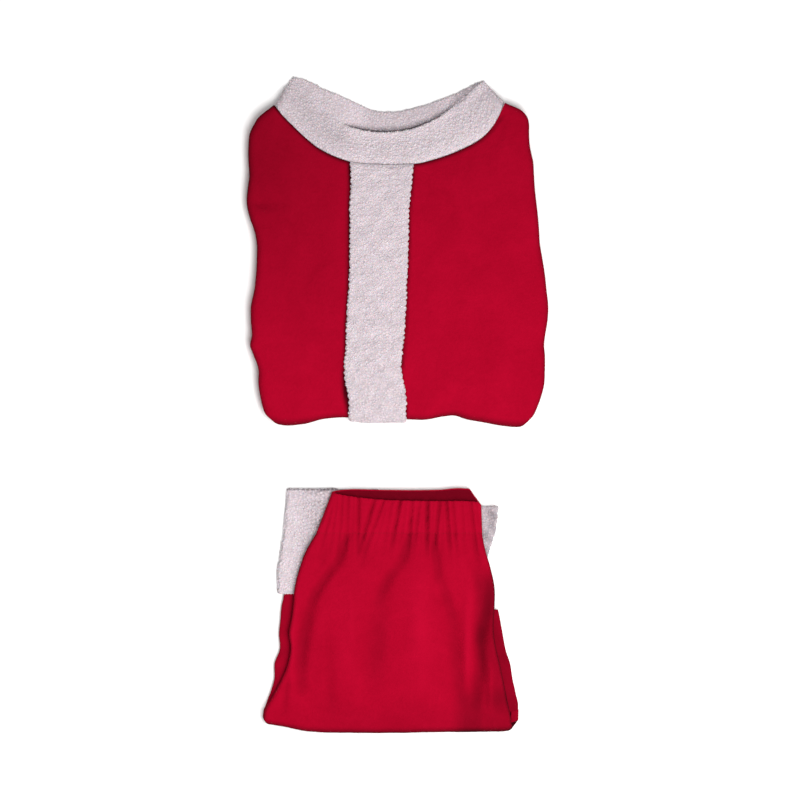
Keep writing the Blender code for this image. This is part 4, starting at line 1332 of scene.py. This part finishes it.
# v, outer edge, inner edge of each leg's white cuff
LEFT_CUFF = [
    (167.5, -145, -34), (188, -146, -33), (209, -143, -30), (245, -138, -26), (293, -134, -22),
]
RIGHT_CUFF = [(148.5, 96, -10), (176, 101, -6), (218, 110, 2), (245, 118, 9), (272, 121, 12)]

cuff_places = ring_places(46, 46, np.arange(0, 91, 15))


def cuff_shade(node, u, v):
    """Painted shade on the right cuff, and on the left one beside the waist, with flecks, and at
    its top; painted light at its outer side.
    """
    if node == "right_cuff":
        return 0.52 + 0.25 * ripples(u, v, 14, 97)
    shade_and_flecks = 0.25 + 0.2 * ripples(u, v, 9, 98) + 0.3 * ripples(u, v, 3.5, 99)
    painted_light_side = 0.1 * ease(-112, -135, u)
    return shade_and_flecks * ease(-126, -92, u) - painted_light_side + 0.8 * ease(290.5, 292.5, v)


def cuff_cover(node, place, normal):
    """The pile covers what shows beside the trousers, and is left out inside and underneath."""
    u = place[..., 0]
    beside = ease(-70, -74, u) if node == "left_cuff" else ease(90, 94, u)
    inside = (np.abs(place[..., 2] - CUFF_THICK / 2) < 2.2) & (np.abs(normal[..., 2]) > 0.5)
    return beside * ease(-0.55, -0.2, normal[..., 2]) * ease(0.6, 1.6, place[..., 2]) * ~inside


for node, table, seed in (("left_cuff", LEFT_CUFF, 8), ("right_cuff", RIGHT_CUFF, 9)):
    rings = []
    for v in np.linspace(table[0][0], table[-1][0] - 1.2, 50):
        edges = sorted((float(smooth(table, 1, v)), float(smooth(table, 2, v))))
        rings.append(flat_ring(cuff_places, *edges, v, CUFF_ROLL, CUFF_THICK))
    knobs, waves = (5, 0.45, 80 + seed), (13, 0.35, 90 + seed)
    cuff_grid = knobbly_tube(rings, CUFF_SUNK, knobs, waves, CUFF_WALL - CUFF_SUNK, 5)
    cuff = new_piece(
        "sherpa_" + node,
        cuff_grid,
        closed_ring_faces(cuff_grid),
        white_sherpa,
        TROUSERS_AT,
        cuff_shade(node, cuff_grid[..., 0], cuff_grid[..., 1]),
    )
    cuff_pile = pile(
        "sherpa_" + node + "_curls",
        cuff_grid,
        TROUSERS_AT,
        seed,
        lambda place, normal: cuff_cover(node, place, normal),
        lambda place: cuff_shade(node, place[..., 0], place[..., 1]),
        closed=True,
    )
    settle(cuff, node)


# ---------------- Floor, light and camera
# A plain pale table top under large soft lamps, seen from straight above. None of it
# belongs to the suit.

floor_mesh = bpy.data.meshes.new("floor")
floor_mesh.from_pydata([(-3, -3, 0), (3, -3, 0), (3, 3, 0), (-3, 3, 0)], [], [(0, 1, 2, 3)])
floor = add_object("floor", floor_mesh)
floor_material = bpy.data.materials.new("Pale floor")
floor_material.use_nodes = True
floor_tree = floor_material.node_tree
floor_place = floor_tree.nodes.new("ShaderNodeTexCoord").outputs["Object"]
floor_tone = noise_node(floor_tree, floor_place, 3.0)
floor_colour = mix_colours(floor_tree, floor_tone, (0.93, 0.93, 0.93, 1), (0.95, 0.95, 0.95, 1))
floor_look = {"Base Color": floor_colour, "Roughness": 0.9, "Specular IOR Level": 0.1}
feed(floor_tree, floor_tree.nodes["Principled BSDF"], floor_look)
floor_mesh.materials.append(floor_material)


def soft_lamp(name, place, size, power, warmth):
    """A square lamp that looks at the middle of the floor."""
    lamp = bpy.data.lights.new(name, "AREA")
    lamp.shape = "SQUARE"
    lamp.size = size
    lamp.energy = power
    lamp.color = warmth
    obj = add_object(name, lamp)
    obj.location = place
    x, y, z = place
    obj.rotation_euler = (math.atan2(math.hypot(x, y), z), 0.0, math.atan2(x, -y))


soft_lamp("overhead_lamp", (0.35, -0.4, 1.9), 1.0, 39.0, (1.0, 0.99, 0.98))
soft_lamp("low_lamp", (0.6, -1.0, 1.2), 0.6, 7.0, (1.0, 0.98, 0.97))
soft_lamp("far_lamp", (0.2, 1.2, 2.0), 1.0, 9.0, (1.0, 1.0, 1.0))
world = bpy.data.worlds.new("Studio")
world.use_nodes = True
sky = {"Color": (1.0, 1.0, 1.0, 1.0), "Strength": 0.30}
feed(world.node_tree, world.node_tree.nodes["Background"], sky)
bpy.context.scene.world = world

camera_data = bpy.data.cameras.new("camera")
camera_data.sensor_width = 36.0
camera_data.lens = 225.0
camera = add_object("camera", camera_data)
camera.location = (0.003, 0.006, 6.02)
bpy.context.scene.camera = camera
bpy.context.scene.view_settings.view_transform = "Standard"
